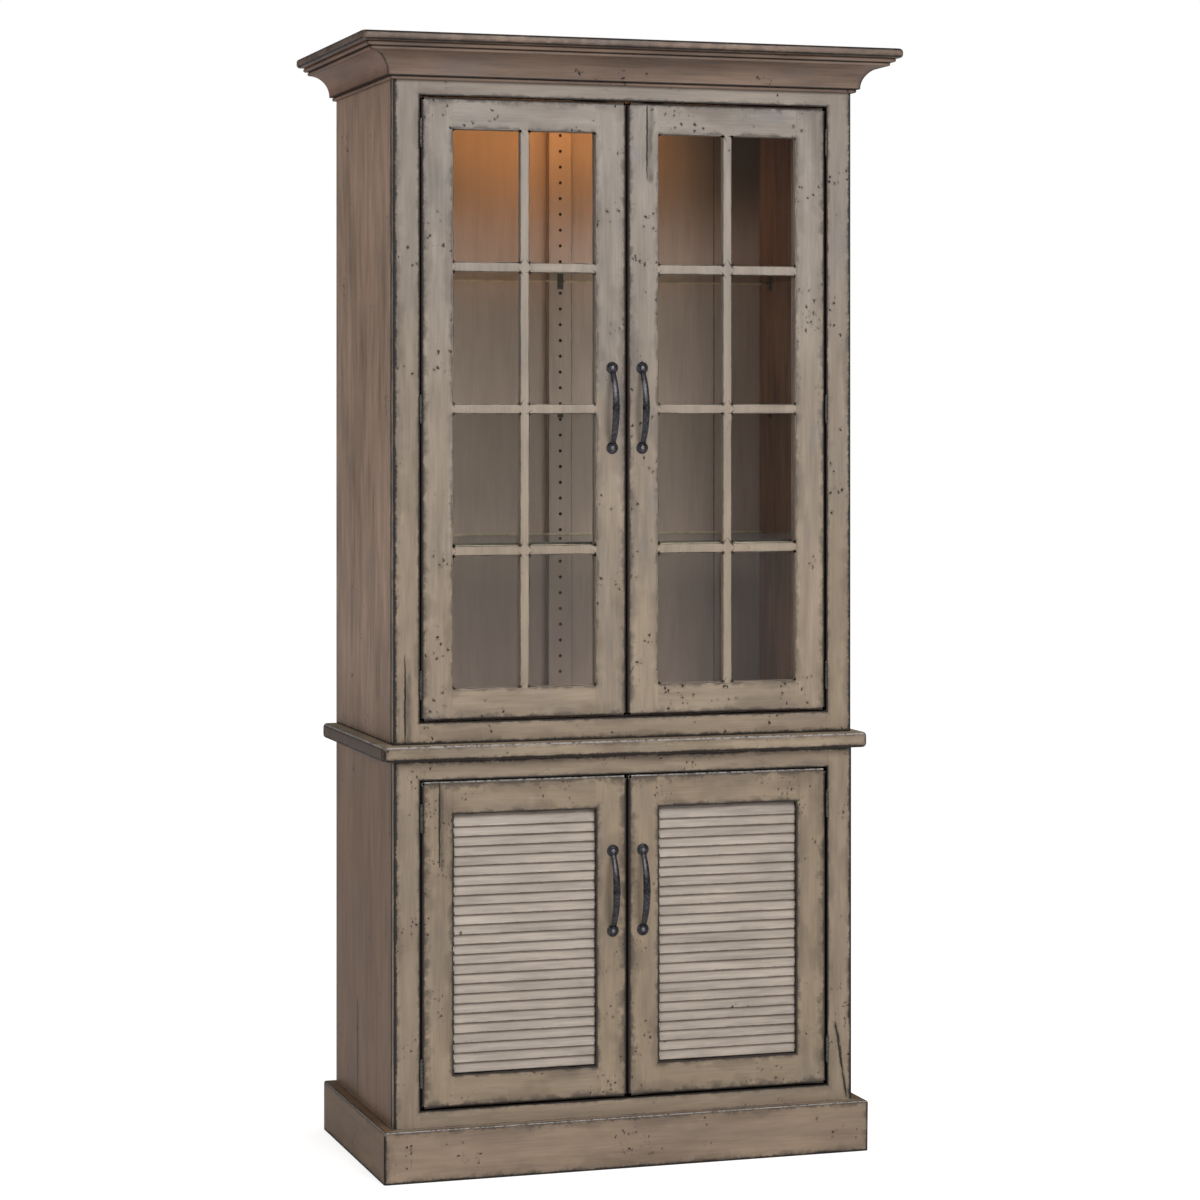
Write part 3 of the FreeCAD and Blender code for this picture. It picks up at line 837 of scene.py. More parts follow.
@dataclass(frozen=True)
class CrackShade:
    """The dark line and the grey smudge of one old crack."""

    start: Colour
    end: Colour
    width: float
    smudge: float
    aside: Colour = (0.0, 0.0, 0.0)


@dataclass(frozen=True)
class PaintFinish:
    """Painted wood under a brushed dark glaze, rubbed at its edges, with painted light and shade where its
    fields ask for them.
    """

    name: str
    high_paint: str
    low_paint: str
    glaze: str
    cool: str = "77777a"
    streaks: float = 0.5
    mottle: float = 0.5
    coolness: float = 0.4
    outline_width: float = 2.2 * MM
    opening_width: float = 1.2 * MM
    smudge: float = 7.0 * MM
    smudge_share: float = 0.6
    ragged: float = 0.8
    holes: float = 0.12
    roughness: float = 0.45
    line: str = "211b18"
    shade: str = "3b332e"
    ridge: float = 0.0
    ridge_paint: str = "cfcbc9"
    ends: float = 0.0
    bores: tuple[float, ...] = ()
    bore_reach: float = 4.0 * MM
    corner_shade: float = 0.0
    corner_span: tuple[float, float] = (0.24, 0.4)
    corner_heights: tuple[float, float] = (1.74, 1.94)
    foot_shade: float = 0.0
    foot_heights: tuple[float, float] = (1.06, 1.16)
    foot_floor: float = 0.84
    back_plane: float = 0.268
    inner_plane: float = 0.0
    inner_paint: str = "a87f69"
    seed: float = 0.0
    fade_low: float = 0.9
    fade_high: float = 2.0
    cracks: tuple[CrackShade, ...] = ()

    def material(self, effects: Effects) -> bpy.types.Material:
        """Build the finish as a material.

        Args:
            effects: the shared node groups.

        Returns:
            The material.
        """
        made, g, shader = new_material(self.name)
        x, y, height = g.split(g.place())
        aside = g.size_of(x)
        # Colour by height, and the grey smudges further down with it: partly the finish's own two tones,
        # partly painted light that reaches high and low parts differently. In the Inside paint the warm upper
        # colour is painted lamp light.
        fade = g.span(height, self.fade_low, self.fade_high)
        paint = g.mix(fade, rgb(self.low_paint), rgb(self.high_paint))
        matt = 0.0
        # Painted shade: the inner faces of the case sides take a darker colour for the shade inside the case,
        # and are made rougher.
        if self.inner_plane:
            within_case = g.below(aside, self.inner_plane)
            paint = g.mix(within_case, paint, rgb(self.inner_paint))
            matt = g.times(within_case, 0.5)
        brushed = g.placed(
            effects.glaze,
            Paint=paint,
            Glaze=rgb(self.glaze),
            Cool=rgb(self.cool),
            Streaks=self.streaks,
            Mottle=self.mottle,
            Coolness=g.span(height, self.fade_low, self.fade_high, 0.45 * self.coolness, self.coolness),
        )
        line, smudge, ridge = self._rubbed_edges(g, effects)
        worms = g.placed(effects.holes, Amount=self.holes, Seed=self.seed)
        smudge = g.most(g.times(smudge, self.smudge_share), g.times(worms["Halo"], 0.3))
        # Grooves take the line colour: glaze in the crown's creases, painted shade in the bars' reveals and
        # the shelf-pin holes.
        line = g.most(line, g.times(g.span(g.marked("groove", "Fac"), 0.5, 0.95), 0.92))
        line = g.most(line, worms["Hole"])
        # Painted shade in the shelf-pin holes: their walls and bottoms take the line colour.
        if self.bores:
            bored = g.times(g.below(self.bores[0], y), g.below(y, self.bores[1]))
            line = g.most(line, g.times(bored, g.below(aside, self.bore_reach)))
        # Painted shade towards both sides of the inside, strongest at the top, only in front of the back's
        # outer face.
        if self.corner_shade:
            beside = g.span(aside, *self.corner_span, 0.0, self.corner_shade)
            beside = g.times(beside, g.below(y, self.back_plane))
            smudge = g.most(smudge, g.times(beside, g.span(height, *self.corner_heights, 0.2, 1.0)))
        # Painted shade low in the upper case, below its lowest shelf, stronger towards the sides.
        if self.foot_shade:
            foot = g.span(height, *self.foot_heights, self.foot_shade, 0.0)
            foot = g.times(foot, g.span(aside, *self.corner_span, 1.0, 1.8))
            smudge = g.most(smudge, g.times(foot, g.below(self.foot_floor, height)))
        # Painted shade on faces that point sideways, such as the slab's ends.
        if self.ends:
            sideways = g.size_of(g.split(g.node("ShaderNodeNewGeometry").outputs["Normal"])[0])
            smudge = g.most(smudge, g.span(sideways, 0.6, 0.9, 0.0, self.ends))
        for crack in self.cracks:
            shown = g.placed(
                effects.crack,
                Start=crack.start,
                End=crack.end,
                Aside=crack.aside,
                Width=crack.width,
                Smudge=crack.smudge,
            )
            line = g.most(line, g.times(shown["Line"], 0.95))
            smudge = g.most(smudge, shown["Smudge"])
        coated = g.mix(line, g.mix(smudge, brushed["Color"], rgb(self.shade)), rgb(self.line))
        # Painted highlight along the top edges, in the highlight paint.
        if self.ridge:
            coated = g.mix(g.times(ridge, self.ridge), coated, rgb(self.ridge_paint))
        depth = g.minus(g.times(brushed["Streak"], -0.25), g.times(worms["Hole"], 4.0))
        depth = g.minus(depth, g.times(line, 0.6))
        rough = g.plus(g.span(line, 0.0, 1.0, self.roughness, self.roughness + 0.15), matt)
        g.fill(shader, Base_Color=coated, Roughness=rough, Normal=g.bump(depth, 0.35, 0.3 * MM))
        return made

    def _rubbed_edges(self, g: Graph, effects: Effects) -> tuple[Socket, Socket, Socket]:
        """The dark lines at the board's outline and opening, their smudges, and the painted highlight along
        the top edge.

        Args:
            g: the material's graph.
            effects: the shared node groups.

        Returns:
            How strongly the line, the smudge and the painted highlight show.
        """
        edges = g.placed(effects.edges)
        outer = g.placed(
            effects.rubbed,
            Distance=edges["Outline"],
            Width=self.outline_width,
            Smudge=self.smudge,
            Raggedness=self.ragged,
            Seed=self.seed,
        )
        inner = g.placed(
            effects.rubbed,
            Distance=edges["Opening"],
            Width=self.opening_width,
            Smudge=self.smudge * 0.6,
            Raggedness=self.ragged * 0.8,
            Seed=self.seed + 3.1,
        )
        line = g.most(g.times(outer["Line"], 0.95), g.times(inner["Line"], 0.9))
        near_top = g.span(g.split(g.marked("from_high"))[2], 3 * MM, 8 * MM, 1.0, 0.0)
        # Where a painted highlight is asked for, the dark line is weakened along the top edge so that the
        # highlight shows.
        if self.ridge:
            line = g.times(line, g.minus(1.0, g.times(near_top, 0.7)))
        return line, g.most(outer["Smudge"], inner["Smudge"]), g.times(outer["Ridge"], near_top)


@dataclass(frozen=True)
class MetalFinish:
    """Cast or plated metal with a soft cloudy wear."""

    name: str
    base: str
    worn: str
    roughness: float
    metallic: float
    wear_scale: float = 220.0
    bump: float = 0.25
    bright: str = "8f8e93"

    def material(self) -> bpy.types.Material:
        """Build the finish as a material.

        Returns:
            The material.
        """
        made, g, shader = new_material(self.name)
        place = g.place()
        cloud = g.noise(place, Grain(self.wear_scale, 4, 0.6))
        worn = g.mix(g.span(cloud, 0.35, 0.7), rgb(self.base), rgb(self.worn))
        # Parts marked rubbed take the bright colour: on the screw heads this is rubbed metal and a painted
        # highlight.
        g.fill(
            shader,
            Base_Color=g.mix(g.marked("rubbed", "Fac"), worn, rgb(self.bright)),
            Roughness=g.span(cloud, 0.3, 0.75, self.roughness - 0.06, self.roughness + 0.12),
            Metallic=self.metallic,
            Normal=g.bump(g.noise(place, Grain(self.wear_scale * 3, 3, 0.6)), self.bump, 0.2 * MM),
        )
        return made


@dataclass(frozen=True)
class GlassFinish:
    """Clear sheet glass that lets lamp light through."""

    name: str
    tint: str
    passes: float = 0.94

    def material(self) -> bpy.types.Material:
        """Build the finish as a material.

        Returns:
            The material.
        """
        made, g, shader = new_material(self.name)
        haze = g.span(g.noise(g.place(), Grain(14, 3)), 0.3, 0.8, 0.0, 0.03)
        g.fill(shader, Base_Color=rgb(self.tint), Roughness=haze, Metallic=0.0, IOR=1.5)
        g.fill(shader, Transmission_Weight=1.0)
        clear = g.node("ShaderNodeBsdfTransparent")
        g.fill(clear, Color=(0.98 * self.passes, self.passes, 0.99 * self.passes))
        choice = g.node("ShaderNodeMixShader")
        in_shadow = g.node("ShaderNodeLightPath").outputs["Is Shadow Ray"]
        for socket, source in zip(choice.inputs, (in_shadow, shader.outputs[0], clear.outputs[0])):
            g.feed(socket, source)
        g.fill(made.node_tree.nodes["Material Output"], Surface=choice.outputs[0])
        return made


@dataclass(frozen=True)
class GlowFinish:
    """The lit lens of the small lamp."""

    name: str
    colour: str
    strength: float

    def material(self) -> bpy.types.Material:
        """Build the finish as a material.

        Returns:
            The material.
        """
        made, g, shader = new_material(self.name)
        ripple = g.noise(g.place(), Grain(300))
        g.fill(
            shader,
            Base_Color=g.mix(ripple, rgb("e8dcc8"), rgb("f4ead8")),
            Emission_Color=g.mix(ripple, rgb(self.colour), rgb("ffd9a8")),
            Emission_Strength=self.strength,
            Roughness=0.35,
        )
        return made


FRONT_CRACKS = (
    CrackShade((-0.4353, -0.196, 0.979), (-0.4353, -0.196, 0.811), 2.4 * MM, 13 * MM, (5 * MM, 0.0, 0.0)),
    CrackShade((0.4235, -0.2, 0.249), (0.4383, -0.2, 0.152), 2.4 * MM, 7 * MM),
    CrackShade((0.4383, -0.2, 0.152), (0.4469, -0.2, 0.103), 2.2 * MM, 7 * MM),
    CrackShade((0.4235, -0.2, 0.249), (0.4335, -0.2, 0.205), 1.6 * MM, 5 * MM),
    CrackShade((0.4335, -0.2, 0.205), (0.4395, -0.2, 0.152), 1.4 * MM, 5 * MM),
)
DOOR_CRACK = CrackShade(
    (0.0401, -0.196, 2.03), (0.0401, -0.196, 1.876), 2.6 * MM, 11 * MM, (7 * MM, 0.0, 0.0)
)
LOW_CRACK = CrackShade((-0.3699, -0.2, 0.75), (-0.3699, -0.2, 0.584), 2.6 * MM, 9 * MM, (4 * MM, 0.0, 0.0))
SIDE_CRACK = CrackShade(
    (-0.457, 0.0911, 0.297), (-0.457, 0.0911, 0.106), 3.4 * MM, 8 * MM, (0.0, 2 * MM, 0.0)
)

PAINTS = (
    PaintFinish(
        "Front paint", "a5998e", "ae9b85", "65594e", coolness=0.45, outline_width=5.4 * MM,
        opening_width=3.0 * MM, smudge=11 * MM, smudge_share=0.75, ragged=1.0, holes=0.16,
        cracks=FRONT_CRACKS,
    ),
    PaintFinish(
        "Door paint", "aca299", "b7a48e", "665a4e", mottle=0.55, coolness=0.6, outline_width=5.0 * MM,
        opening_width=1.4 * MM, smudge=13 * MM, smudge_share=0.8, ragged=0.6, holes=0.2, seed=1.0,
        line="332a26", cracks=(DOOR_CRACK,),
    ),
    PaintFinish(
        "Lower door paint", "ae9e8b", "af9b83", "65594c", mottle=0.6, coolness=0.5, ridge=0.85,
        outline_width=5.2 * MM, opening_width=4.0 * MM, smudge=17 * MM, smudge_share=0.85, ragged=0.6,
        holes=0.2, seed=4.0, line="302824", cracks=(LOW_CRACK,),
    ),
    # Side paint: the inner faces of the sides carry painted shade.
    PaintFinish(
        "Side paint", "c1a18b", "93725a", "5e4939", streaks=0.7, mottle=1.1, coolness=0.08,
        outline_width=2.6 * MM, smudge=9 * MM, holes=0.1, seed=2.0, fade_low=0.6, fade_high=1.1,
        inner_plane=0.4384, cracks=(SIDE_CRACK,),
    ),
    PaintFinish(
        "Plinth side paint", "9a7a61", "947559", "4a3a2e", mottle=1.1, coolness=0.1, ridge=0.5,
        outline_width=4.2 * MM, smudge=9 * MM, smudge_share=0.7, ragged=0.9, holes=0.1, seed=6.0,
    ),
    PaintFinish(
        "Moulding paint", "927a6a", "927a6a", "52433a", streaks=0.7, mottle=1.5, coolness=0.3,
        smudge=8 * MM, smudge_share=0.7, holes=0.14, seed=5.0,
    ),
    PaintFinish(
        "Moulding side paint", "97725c", "97725c", "4c3a30", streaks=0.7, mottle=1.5, coolness=0.12,
        outline_width=2.6 * MM, smudge=8 * MM, smudge_share=0.7, holes=0.14, seed=5.5,
    ),
    PaintFinish(
        "Slab paint", "b5a38f", "b5a38b", "5d5145", mottle=0.9, coolness=0.3, ridge=0.6, ends=0.86,
        outline_width=4.2 * MM, opening_width=3.0 * MM, smudge=8 * MM, smudge_share=0.7, ragged=0.9,
        holes=0.16, seed=6.0, shade="4a3022",
    ),
    PaintFinish(
        "Plinth paint", "a79483", "a7917c", "5d5145", mottle=1.2, coolness=0.25, ridge=0.7,
        outline_width=4.2 * MM, smudge=11 * MM, smudge_share=0.8, ragged=0.9, holes=0.16, seed=6.0,
    ),
    PaintFinish(
        "Muntin paint", "b5a99e", "b8a691", "71665b", streaks=0.4, coolness=0.35,
        opening_width=1.1 * MM, smudge=4 * MM, smudge_share=0.5, ragged=1.2, holes=0.06, seed=7.0,
        line="332a26",
    ),
    PaintFinish(
        "Louvre paint", "c8bcb3", "c7b9ac", "7c7064", streaks=0.7, mottle=0.6, coolness=0.35,
        outline_width=2.3 * MM, smudge=4 * MM, smudge_share=0.5, ragged=0.15, holes=0.08, seed=8.0,
        line="291f19",
    ),
    # Inside paint: its warm upper colour is painted lamp light; the corner shade, foot shade and bores are
    # painted shade.
    PaintFinish(
        "Inside paint", "c0a286", "dac1b6", "957f6e", streaks=0.35, mottle=0.3, coolness=0.1,
        outline_width=0.9 * MM, smudge=4 * MM, smudge_share=0.3, ragged=0.4, holes=0.0, seed=9.0,
        roughness=0.6, fade_low=1.74, fade_high=1.92, bores=(0.2433, 0.2615), corner_shade=0.72,
        foot_shade=0.24,
    ),
)

OTHER_FINISHES = (
    MetalFinish("Black iron", "3a393c", "5d5b60", 0.33, 0.8),
    MetalFinish("Hinge steel", "55544f", "86857f", 0.32, 1.0, 400, 0.1),
    MetalFinish("Plated steel", "5c5650", "77706a", 0.5, 0.9, 400, 0.1),
    MetalFinish("Catch plastic", "6a5a4a", "7a6a58", 0.5, 0.0),
    MetalFinish("Light metal", "8f8f8f", "a5a5a5", 0.3, 1.0),
    # Light strips standing in for the highlights on the glass shelves' edges.
    MetalFinish("Shelf edge", "cdbb9c", "e2d2b6", 0.3, 0.0, 60, 0.05),
    GlassFinish("Door glass", "fbfdfc"),
    GlassFinish("Shelf glass", "b2bcae", 0.58),
    GlowFinish("Light lens", "ffc07a", 12.0),
)


@dataclass
class Finishes:
    """Every material of the cabinet, by name."""

    effects: Effects = field(default_factory=Effects)

    def __post_init__(self) -> None:
        """Build all the materials."""
        self.made = {paint.name: paint.material(self.effects) for paint in PAINTS}
        self.made.update({finish.name: finish.material() for finish in OTHER_FINISHES})

    def __getitem__(self, name: str) -> bpy.types.Material:
        """The material with that name."""
        return self.made[name]


# The cabinet's own planes, read from the frame


@dataclass(frozen=True)
class Layout:
    """Planes that several sub-assemblies share, in metres."""

    half_width: float
    opening_half: float
    upper_face: float
    lower_face: float
    upper_door: Box
    lower_door: Box
    door_gap: float

    @classmethod
    def read(cls) -> "Layout":
        """Read the planes from the frame's boxes.

        Returns:
            The layout.
        """
        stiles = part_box("upper_face_stiles")
        upper_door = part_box("upper_door_right_stiles")
        opening_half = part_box("upper_face_rails")[1].x
        return cls(
            half_width=stiles[1].x,
            opening_half=opening_half,
            upper_face=stiles[0].y,
            lower_face=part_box("lower_face_stiles")[0].y,
            upper_door=upper_door,
            lower_door=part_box("lower_door_right_stiles"),
            door_gap=opening_half - upper_door[1].x,
        )

    def opening(self, level: str) -> Box:
        """The face frame's opening at a level, from wall to wall of the case.

        Args:
            level: upper or lower.

        Returns:
            The opening's box, without a front or back.
        """
        door = self.upper_door if level == "upper" else self.lower_door
        low = Vector((-self.opening_half, -FAR, door[0].z - self.door_gap))
        high = Vector((self.opening_half, FAR, door[1].z + self.door_gap))
        return low, high


def within(value: float, target: float, slack: float = 0.05 * MM) -> bool:
    """Whether a coordinate lies on a plane."""
    return abs(value - target) < slack


def both_on(a: Vector, b: Vector, axis: Axis, *planes: float) -> bool:
    """Whether an edge's two ends lie on the same one of some planes."""
    return any(within(a[axis.value], plane) and within(b[axis.value], plane) for plane in planes)


def every_edge(a: Vector, b: Vector) -> bool:
    """Choose every edge of a piece."""
    return True


@dataclass
class Board:
    """One straight board with eased edges."""

    low: Vector
    high: Vector
    grain: Axis
    seed: float
    ease: float = 0.8 * MM
    whole: Optional[Box] = None
    hole: Optional[Box] = None

    def build(self, name: str) -> Piece:
        """Shape the board and mark its edges and grain.

        Args:
            name: the board's name.

        Returns:
            The board.
        """
        piece = box_piece(name, self.low, self.high)
        bevel(piece, every_edge, self.ease, 2)
        Marks(self.grain, self.seed, self.whole, self.hole).write(piece)
        return piece


@dataclass
class Case:
    """One of the two carcasses: sides, back, level boards and face frame."""

    level: str
    layout: Layout
    finishes: Finishes
    seed: float
    plank_seam: float = 0.3375
    stile_ease: float = 0.6 * MM
    rail_ease: float = 0.3 * MM

    def build(self) -> None:
        """Build and dress every board of the case."""
        self._sides()
        self._back()
        self._level_boards()
        self._face_frame()

    def _sides(self) -> None:
        """Both side panels."""
        for side in Side:
            node = f"{self.level}_side_{side.word}"
            piece = Board(*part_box(node), Axis.Z, self.seed + side.value).build(node + "_panel")
            dress(piece, self.finishes["Side paint"], "case_paint", "root", node)

    def _back(self) -> None:
        """The back panel, in three planks."""
        node = f"{self.level}_back"
        low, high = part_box(node)
        seams = [low.x, -self.plank_seam, self.plank_seam, high.x]
        planks = []
        for place, (a, b) in enumerate(zip(seams, seams[1:])):
            corners = Vector((a, low.y, low.z)), Vector((b, high.y, high.z))
            planks.append(Board(*corners, Axis.Z, self.seed + place * 0.7).build(f"{node}_{place}"))
        dress(join(node + "_planks", planks), self.finishes["Inside paint"], "inside_paint", "root", node)

    def _level_boards(self) -> None:
        """Floor, ceiling and wood shelf."""
        names = ["floor", "ceiling"] if self.level == "upper" else ["floor", "shelf"]
        for place, word in enumerate(names):
            node = f"{self.level}_{word}"
            piece = Board(*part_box(node), Axis.X, self.seed + 2 + place).build(node + "_board")
            dress(piece, self.finishes["Inside paint"], "inside_paint", "root", node)

    def _face_frame(self) -> None:
        """Two stiles and two rails round the opening."""
        opening = self.layout.opening(self.level)
        stiles, rails = f"{self.level}_face_stiles", f"{self.level}_face_rails"
        whole = low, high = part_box(stiles)
        uprights = []
        for side in Side:
            x_low, x_high = side.between(self.layout.opening_half, self.layout.half_width)
            corners = Vector((x_low, low.y, low.z)), Vector((x_high, high.y, high.z))
            seed = self.seed + 4 + side.value
            board = Board(*corners, Axis.Z, seed, self.stile_ease, whole, opening)
            uprights.append(board.build(f"{stiles}_{side.word}"))
        low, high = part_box(rails)
        levels = []
        for place, (z_low, z_high) in enumerate(((low.z, opening[0].z), (opening[1].z, high.z))):
            corners = Vector((low.x, low.y, z_low)), Vector((high.x, high.y, z_high))
            board = Board(*corners, Axis.X, self.seed + 7 + place, self.rail_ease, whole, opening)
            levels.append(board.build(f"{rails}_{place}"))
        for node, boards in ((stiles, uprights), (rails, levels)):
            dress(join(node + "_boards", boards), self.finishes["Front paint"], "case_paint", "root", node)


@dataclass
class Split:
    """An old crack in a board: a thin tapering cut from an upper place to a lower one."""

    top: Vector
    foot: Vector
    width: float = 1.3 * MM
    depth: float = 3.0 * MM
    taper: float = 0.25

    def cut(self, board: Piece) -> None:
        """Cut the crack into a board, narrowing to its ends.

        Args:
            board: the board.
        """
        middle = (self.top + self.foot) / 2
        size = Vector((self.width, 2 * self.depth, self.top.z - self.foot.z))
        cutter = box_piece("crack", middle - size / 2, middle + size / 2)
        for end in (self.foot, self.top):
            pick(cutter, "VERT", lambda p: within(p.z, end.z))
            bpy.ops.transform.translate(value=(end.x - middle.x, end.y - middle.y, 0))
            bpy.ops.transform.resize(value=(self.taper, 1, 1), center_override=end)
            bpy.ops.object.mode_set(mode="OBJECT")
        carve(board, cutter)


@dataclass
class Slab:
    """A flat board over a case, its front and side edges rounded and its front corners softened."""

    node: str
    finish: str
    finishes: Finishes
    round_edge: float
    seed: float
    corner: float = 13.0 * MM

    def build(self) -> None:
        """Shape and dress the board."""
        low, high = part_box(self.node)
        piece = box_piece(self.node + "_board", low, high)
        upright = lambda a, b: not within(a.z, b.z) and both_on(a, b, Axis.Y, low.y)
        bevel(piece, upright, self.corner, 5)
        level = lambda a, b: within(a.z, b.z) and not both_on(a, b, Axis.Y, high.y)
        bevel(piece, level, self.round_edge, 6)
        turn = lambda p: math.hypot(min(p.x - low.x, high.x - p.x), p.y - low.y - self.corner)
        inset = Vector((1, 1, 1)) * self.round_edge / 4
        Marks(Axis.X, self.seed, (low + inset, high - inset), edge=turn).write(piece)
        dress(piece, self.finishes[self.finish], "case_paint", "root", self.node)


@dataclass
class Mitred:
    """A section that runs along the front and both sides, mitred at the front corners."""

    layout: Layout
    finishes: Finishes

    def _front(self, name: str, node: str, outline: Outline, face: float) -> Piece:
        """The front length, cut at both mitres.

        Args:
            name: the piece's name.
            node: the CAD node that it stands for.
            outline: the section as (out, up) points from its lowest inner corner.
            face: the plane that it stands out from.

        Returns:
            The length.
        """
        low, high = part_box(node)
        places = [Vector((low.x, face - out, low.z + up)) for out, up in outline]
        piece = section_piece(name, places, Vector((high.x - low.x, 0, 0)))
        for side in Side:
            self._cut(piece, Vector((side.value * self.layout.half_width, face, low.z)), (side.value, 1, 0))
        return piece

    def _along_side(self, name: str, node: str, side: Side, outline: Outline, face: float) -> Piece:
        """One side's length, cut at its mitre.

        Args:
            name: the piece's name.
            node: the CAD node that it stands for.
            side: which side it is on.
            outline: the section as (out, up) points from its lowest inner corner.
            face: the front plane, where the mitre starts.

        Returns:
            The length.
        """
        low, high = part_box(node)
        half = self.layout.half_width
        places = [Vector((side.value * (half + out), low.y, low.z + up)) for out, up in outline]
        piece = section_piece(name, places, Vector((0, high.y - low.y, 0)))
        self._cut(piece, Vector((side.value * half, face, low.z)), (-side.value, -1, 0))
        return piece

    def _cut(self, piece: Piece, place: Vector, outwards: tuple[float, float, float]) -> None:
        """Cut a length at its mitre and close the end.

        Args:
            piece: the length.
            place: a point of the mitre.
            outwards: the way to the part that falls off.
        """
        normal = Vector(outwards).normalized()
        pick_all(piece)
        bpy.ops.mesh.bisect(plane_co=place, plane_no=normal, clear_outer=True, use_fill=True)
        done(piece)


@dataclass
class Crown(Mitred):
    """The moulding under the cap: two beads with a cove between, mitred at the front corners."""

    low_bead: float = 7.0 * MM
    low_setback: float = 5.2 * MM
    fillet: float = 1.0 * MM
    cove_setback: float = 14.5 * MM
    cove_radius: float = 41.0 * MM
    mid_bead: float = 7.0 * MM
    top_step: float = 8.0 * MM
    crease_reach: float = 0.3 * MM
    seed: float = 21.0

    def __post_init__(self) -> None:
        """Work out where the cove starts and ends."""
        self.cove_out = self.cove_setback + self.cove_radius
        self.cove_low = self.low_bead + self.fillet
        self.cove_top = self.cove_low + self.cove_radius

    def _outline(self, height: float) -> Outline:
        """The moulding's section as (out, up) points from its lowest inner corner.

        Args:
            height: how tall the moulding is.

        Returns:
            The points in order.
        """
        bead, mid = self.low_bead / 2, self.mid_bead / 2
        top_low = self.cove_top + self.mid_bead
        top = (height - top_low) / 2
        points = [(0.0, 0.0)]
        points += arc((self.low_setback, bead), bead, -90, 90, 8)
        points += [(self.cove_setback, self.low_bead)]
        points += arc((self.cove_out, self.cove_low), self.cove_radius, 180, 90, 26)
        points += arc((self.cove_out, self.cove_top + mid), mid, -90, 90, 8)[1:]
        points += arc((self.cove_out + self.top_step, top_low + top), top, -90, 90, 8)
        return points + [(0.0, height)]

    def _creases(self) -> Outline:
        """The section's inner corners, where glaze gathers.

        Returns:
            Their places as (out, up) points.
        """
        return [
            (self.low_setback, 0.0),
            (self.low_setback, self.low_bead),
            (self.cove_setback, self.low_bead),
            (self.cove_setback, self.cove_low),
            (self.cove_out, self.cove_top),
            (self.cove_out, self.cove_top + self.mid_bead),
            (self.cove_out + self.top_step, self.cove_top + self.mid_bead),
        ]

    def build(self) -> None:
        """Shape and dress the three lengths."""
        low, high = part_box("crown_front")
        face, half, base = self.layout.upper_face, self.layout.half_width, low.z
        outline = self._outline(high.z - base)
        front = self._front("crown_front_length", "crown_front", outline, face)
        pick_all(front)
        bpy.ops.mesh.bisect(plane_co=(0, 0, base), plane_no=(1, 0, 0))
        done(front)
        mitre = lambda p: abs(abs(p.x) - half - (face - p.y)) / math.sqrt(2)
        self._mark(front, Axis.X, lambda p: face - p.y, mitre, base)
        dress(front, self.finishes["Moulding paint"], "case_paint", "root", "crown_front")
        for side in Side:
            node = f"crown_{side.word}"
            length = self._along_side(node + "_length", node, side, outline, face)
            mitre = lambda p: abs(p.y - face + abs(p.x) - half) / math.sqrt(2)
            self._mark(length, Axis.Y, lambda p: abs(p.x) - half, mitre, base)
            dress(length, self.finishes["Moulding side paint"], "case_paint", "root", node)

    def _mark(self, piece: Piece, grain: Axis, out: Place, mitre: Place, base: float) -> None:
        """Mark the creases, the grain and the mitre.

        Args:
            piece: the length.
            grain: which way it runs.
            out: how far a place stands out from the case.
            mitre: how far it lies from the mitre.
            base: the moulding's lowest height.
        """
        creases = self._creases()
        reach = self.crease_reach
        crease = lambda p: float(any(math.hypot(out(p) - a, p.z - base - b) < reach for a, b in creases))
        Marks(grain, self.seed, EVERYWHERE, edge=mitre, groove=crease).write(piece)


@dataclass
class Plinth(Mitred):
    """Base boards mitred round the front, and the hidden rear rail."""

    round_edge: float = 4.0 * MM
    corner: float = 4.0 * MM
    seed: float = 31.0

    def build(self) -> None:
        """Shape and dress the boards."""
        low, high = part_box("plinth_front")
        face, height, turn = self.layout.lower_face, high.z, self.round_edge
        thick = face - low.y
        outline = [(0.0, 0.0), (thick, 0.0)]
        outline += arc((thick - turn, height - turn), turn, 0, 90, 5)
        outline += [(0.0, height)]
        front = self._front("plinth_front_board", "plinth_front", outline, face)
        self._finish(front, Axis.X, self.seed, "Plinth paint", "plinth_front")
        for side in Side:
            node = f"plinth_{side.word}"
            board = self._along_side(node + "_board", node, side, outline, face)
            self._finish(board, Axis.Y, self.seed + side.value, "Plinth side paint", node)
        rail = Board(*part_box("plinth_rear_rail"), Axis.X, self.seed + 3).build("plinth_rear_board")
        dress(rail, self.finishes["Inside paint"], "case_paint", "root", "plinth_rear_rail")

    def _finish(self, piece: Piece, grain: Axis, seed: float, paint: str, node: str) -> None:
        """Ease the upright corner at the mitre's outer end, then mark and dress the board.

        Args:
            piece: the board.
            grain: which way it runs.
            seed: where its grain is read.
            paint: the name of its finish.
            node: the CAD node that it stands for.
        """
        low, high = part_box(node)
        upright = lambda a, b: not within(a.z, b.z, 5 * MM) and both_on(a, b, Axis.Y, low.y)
        bevel(piece, upright, self.corner, 4)
        Marks(grain, seed, (low, high)).write(piece)
        dress(piece, self.finishes[paint], "case_paint", "root", node)


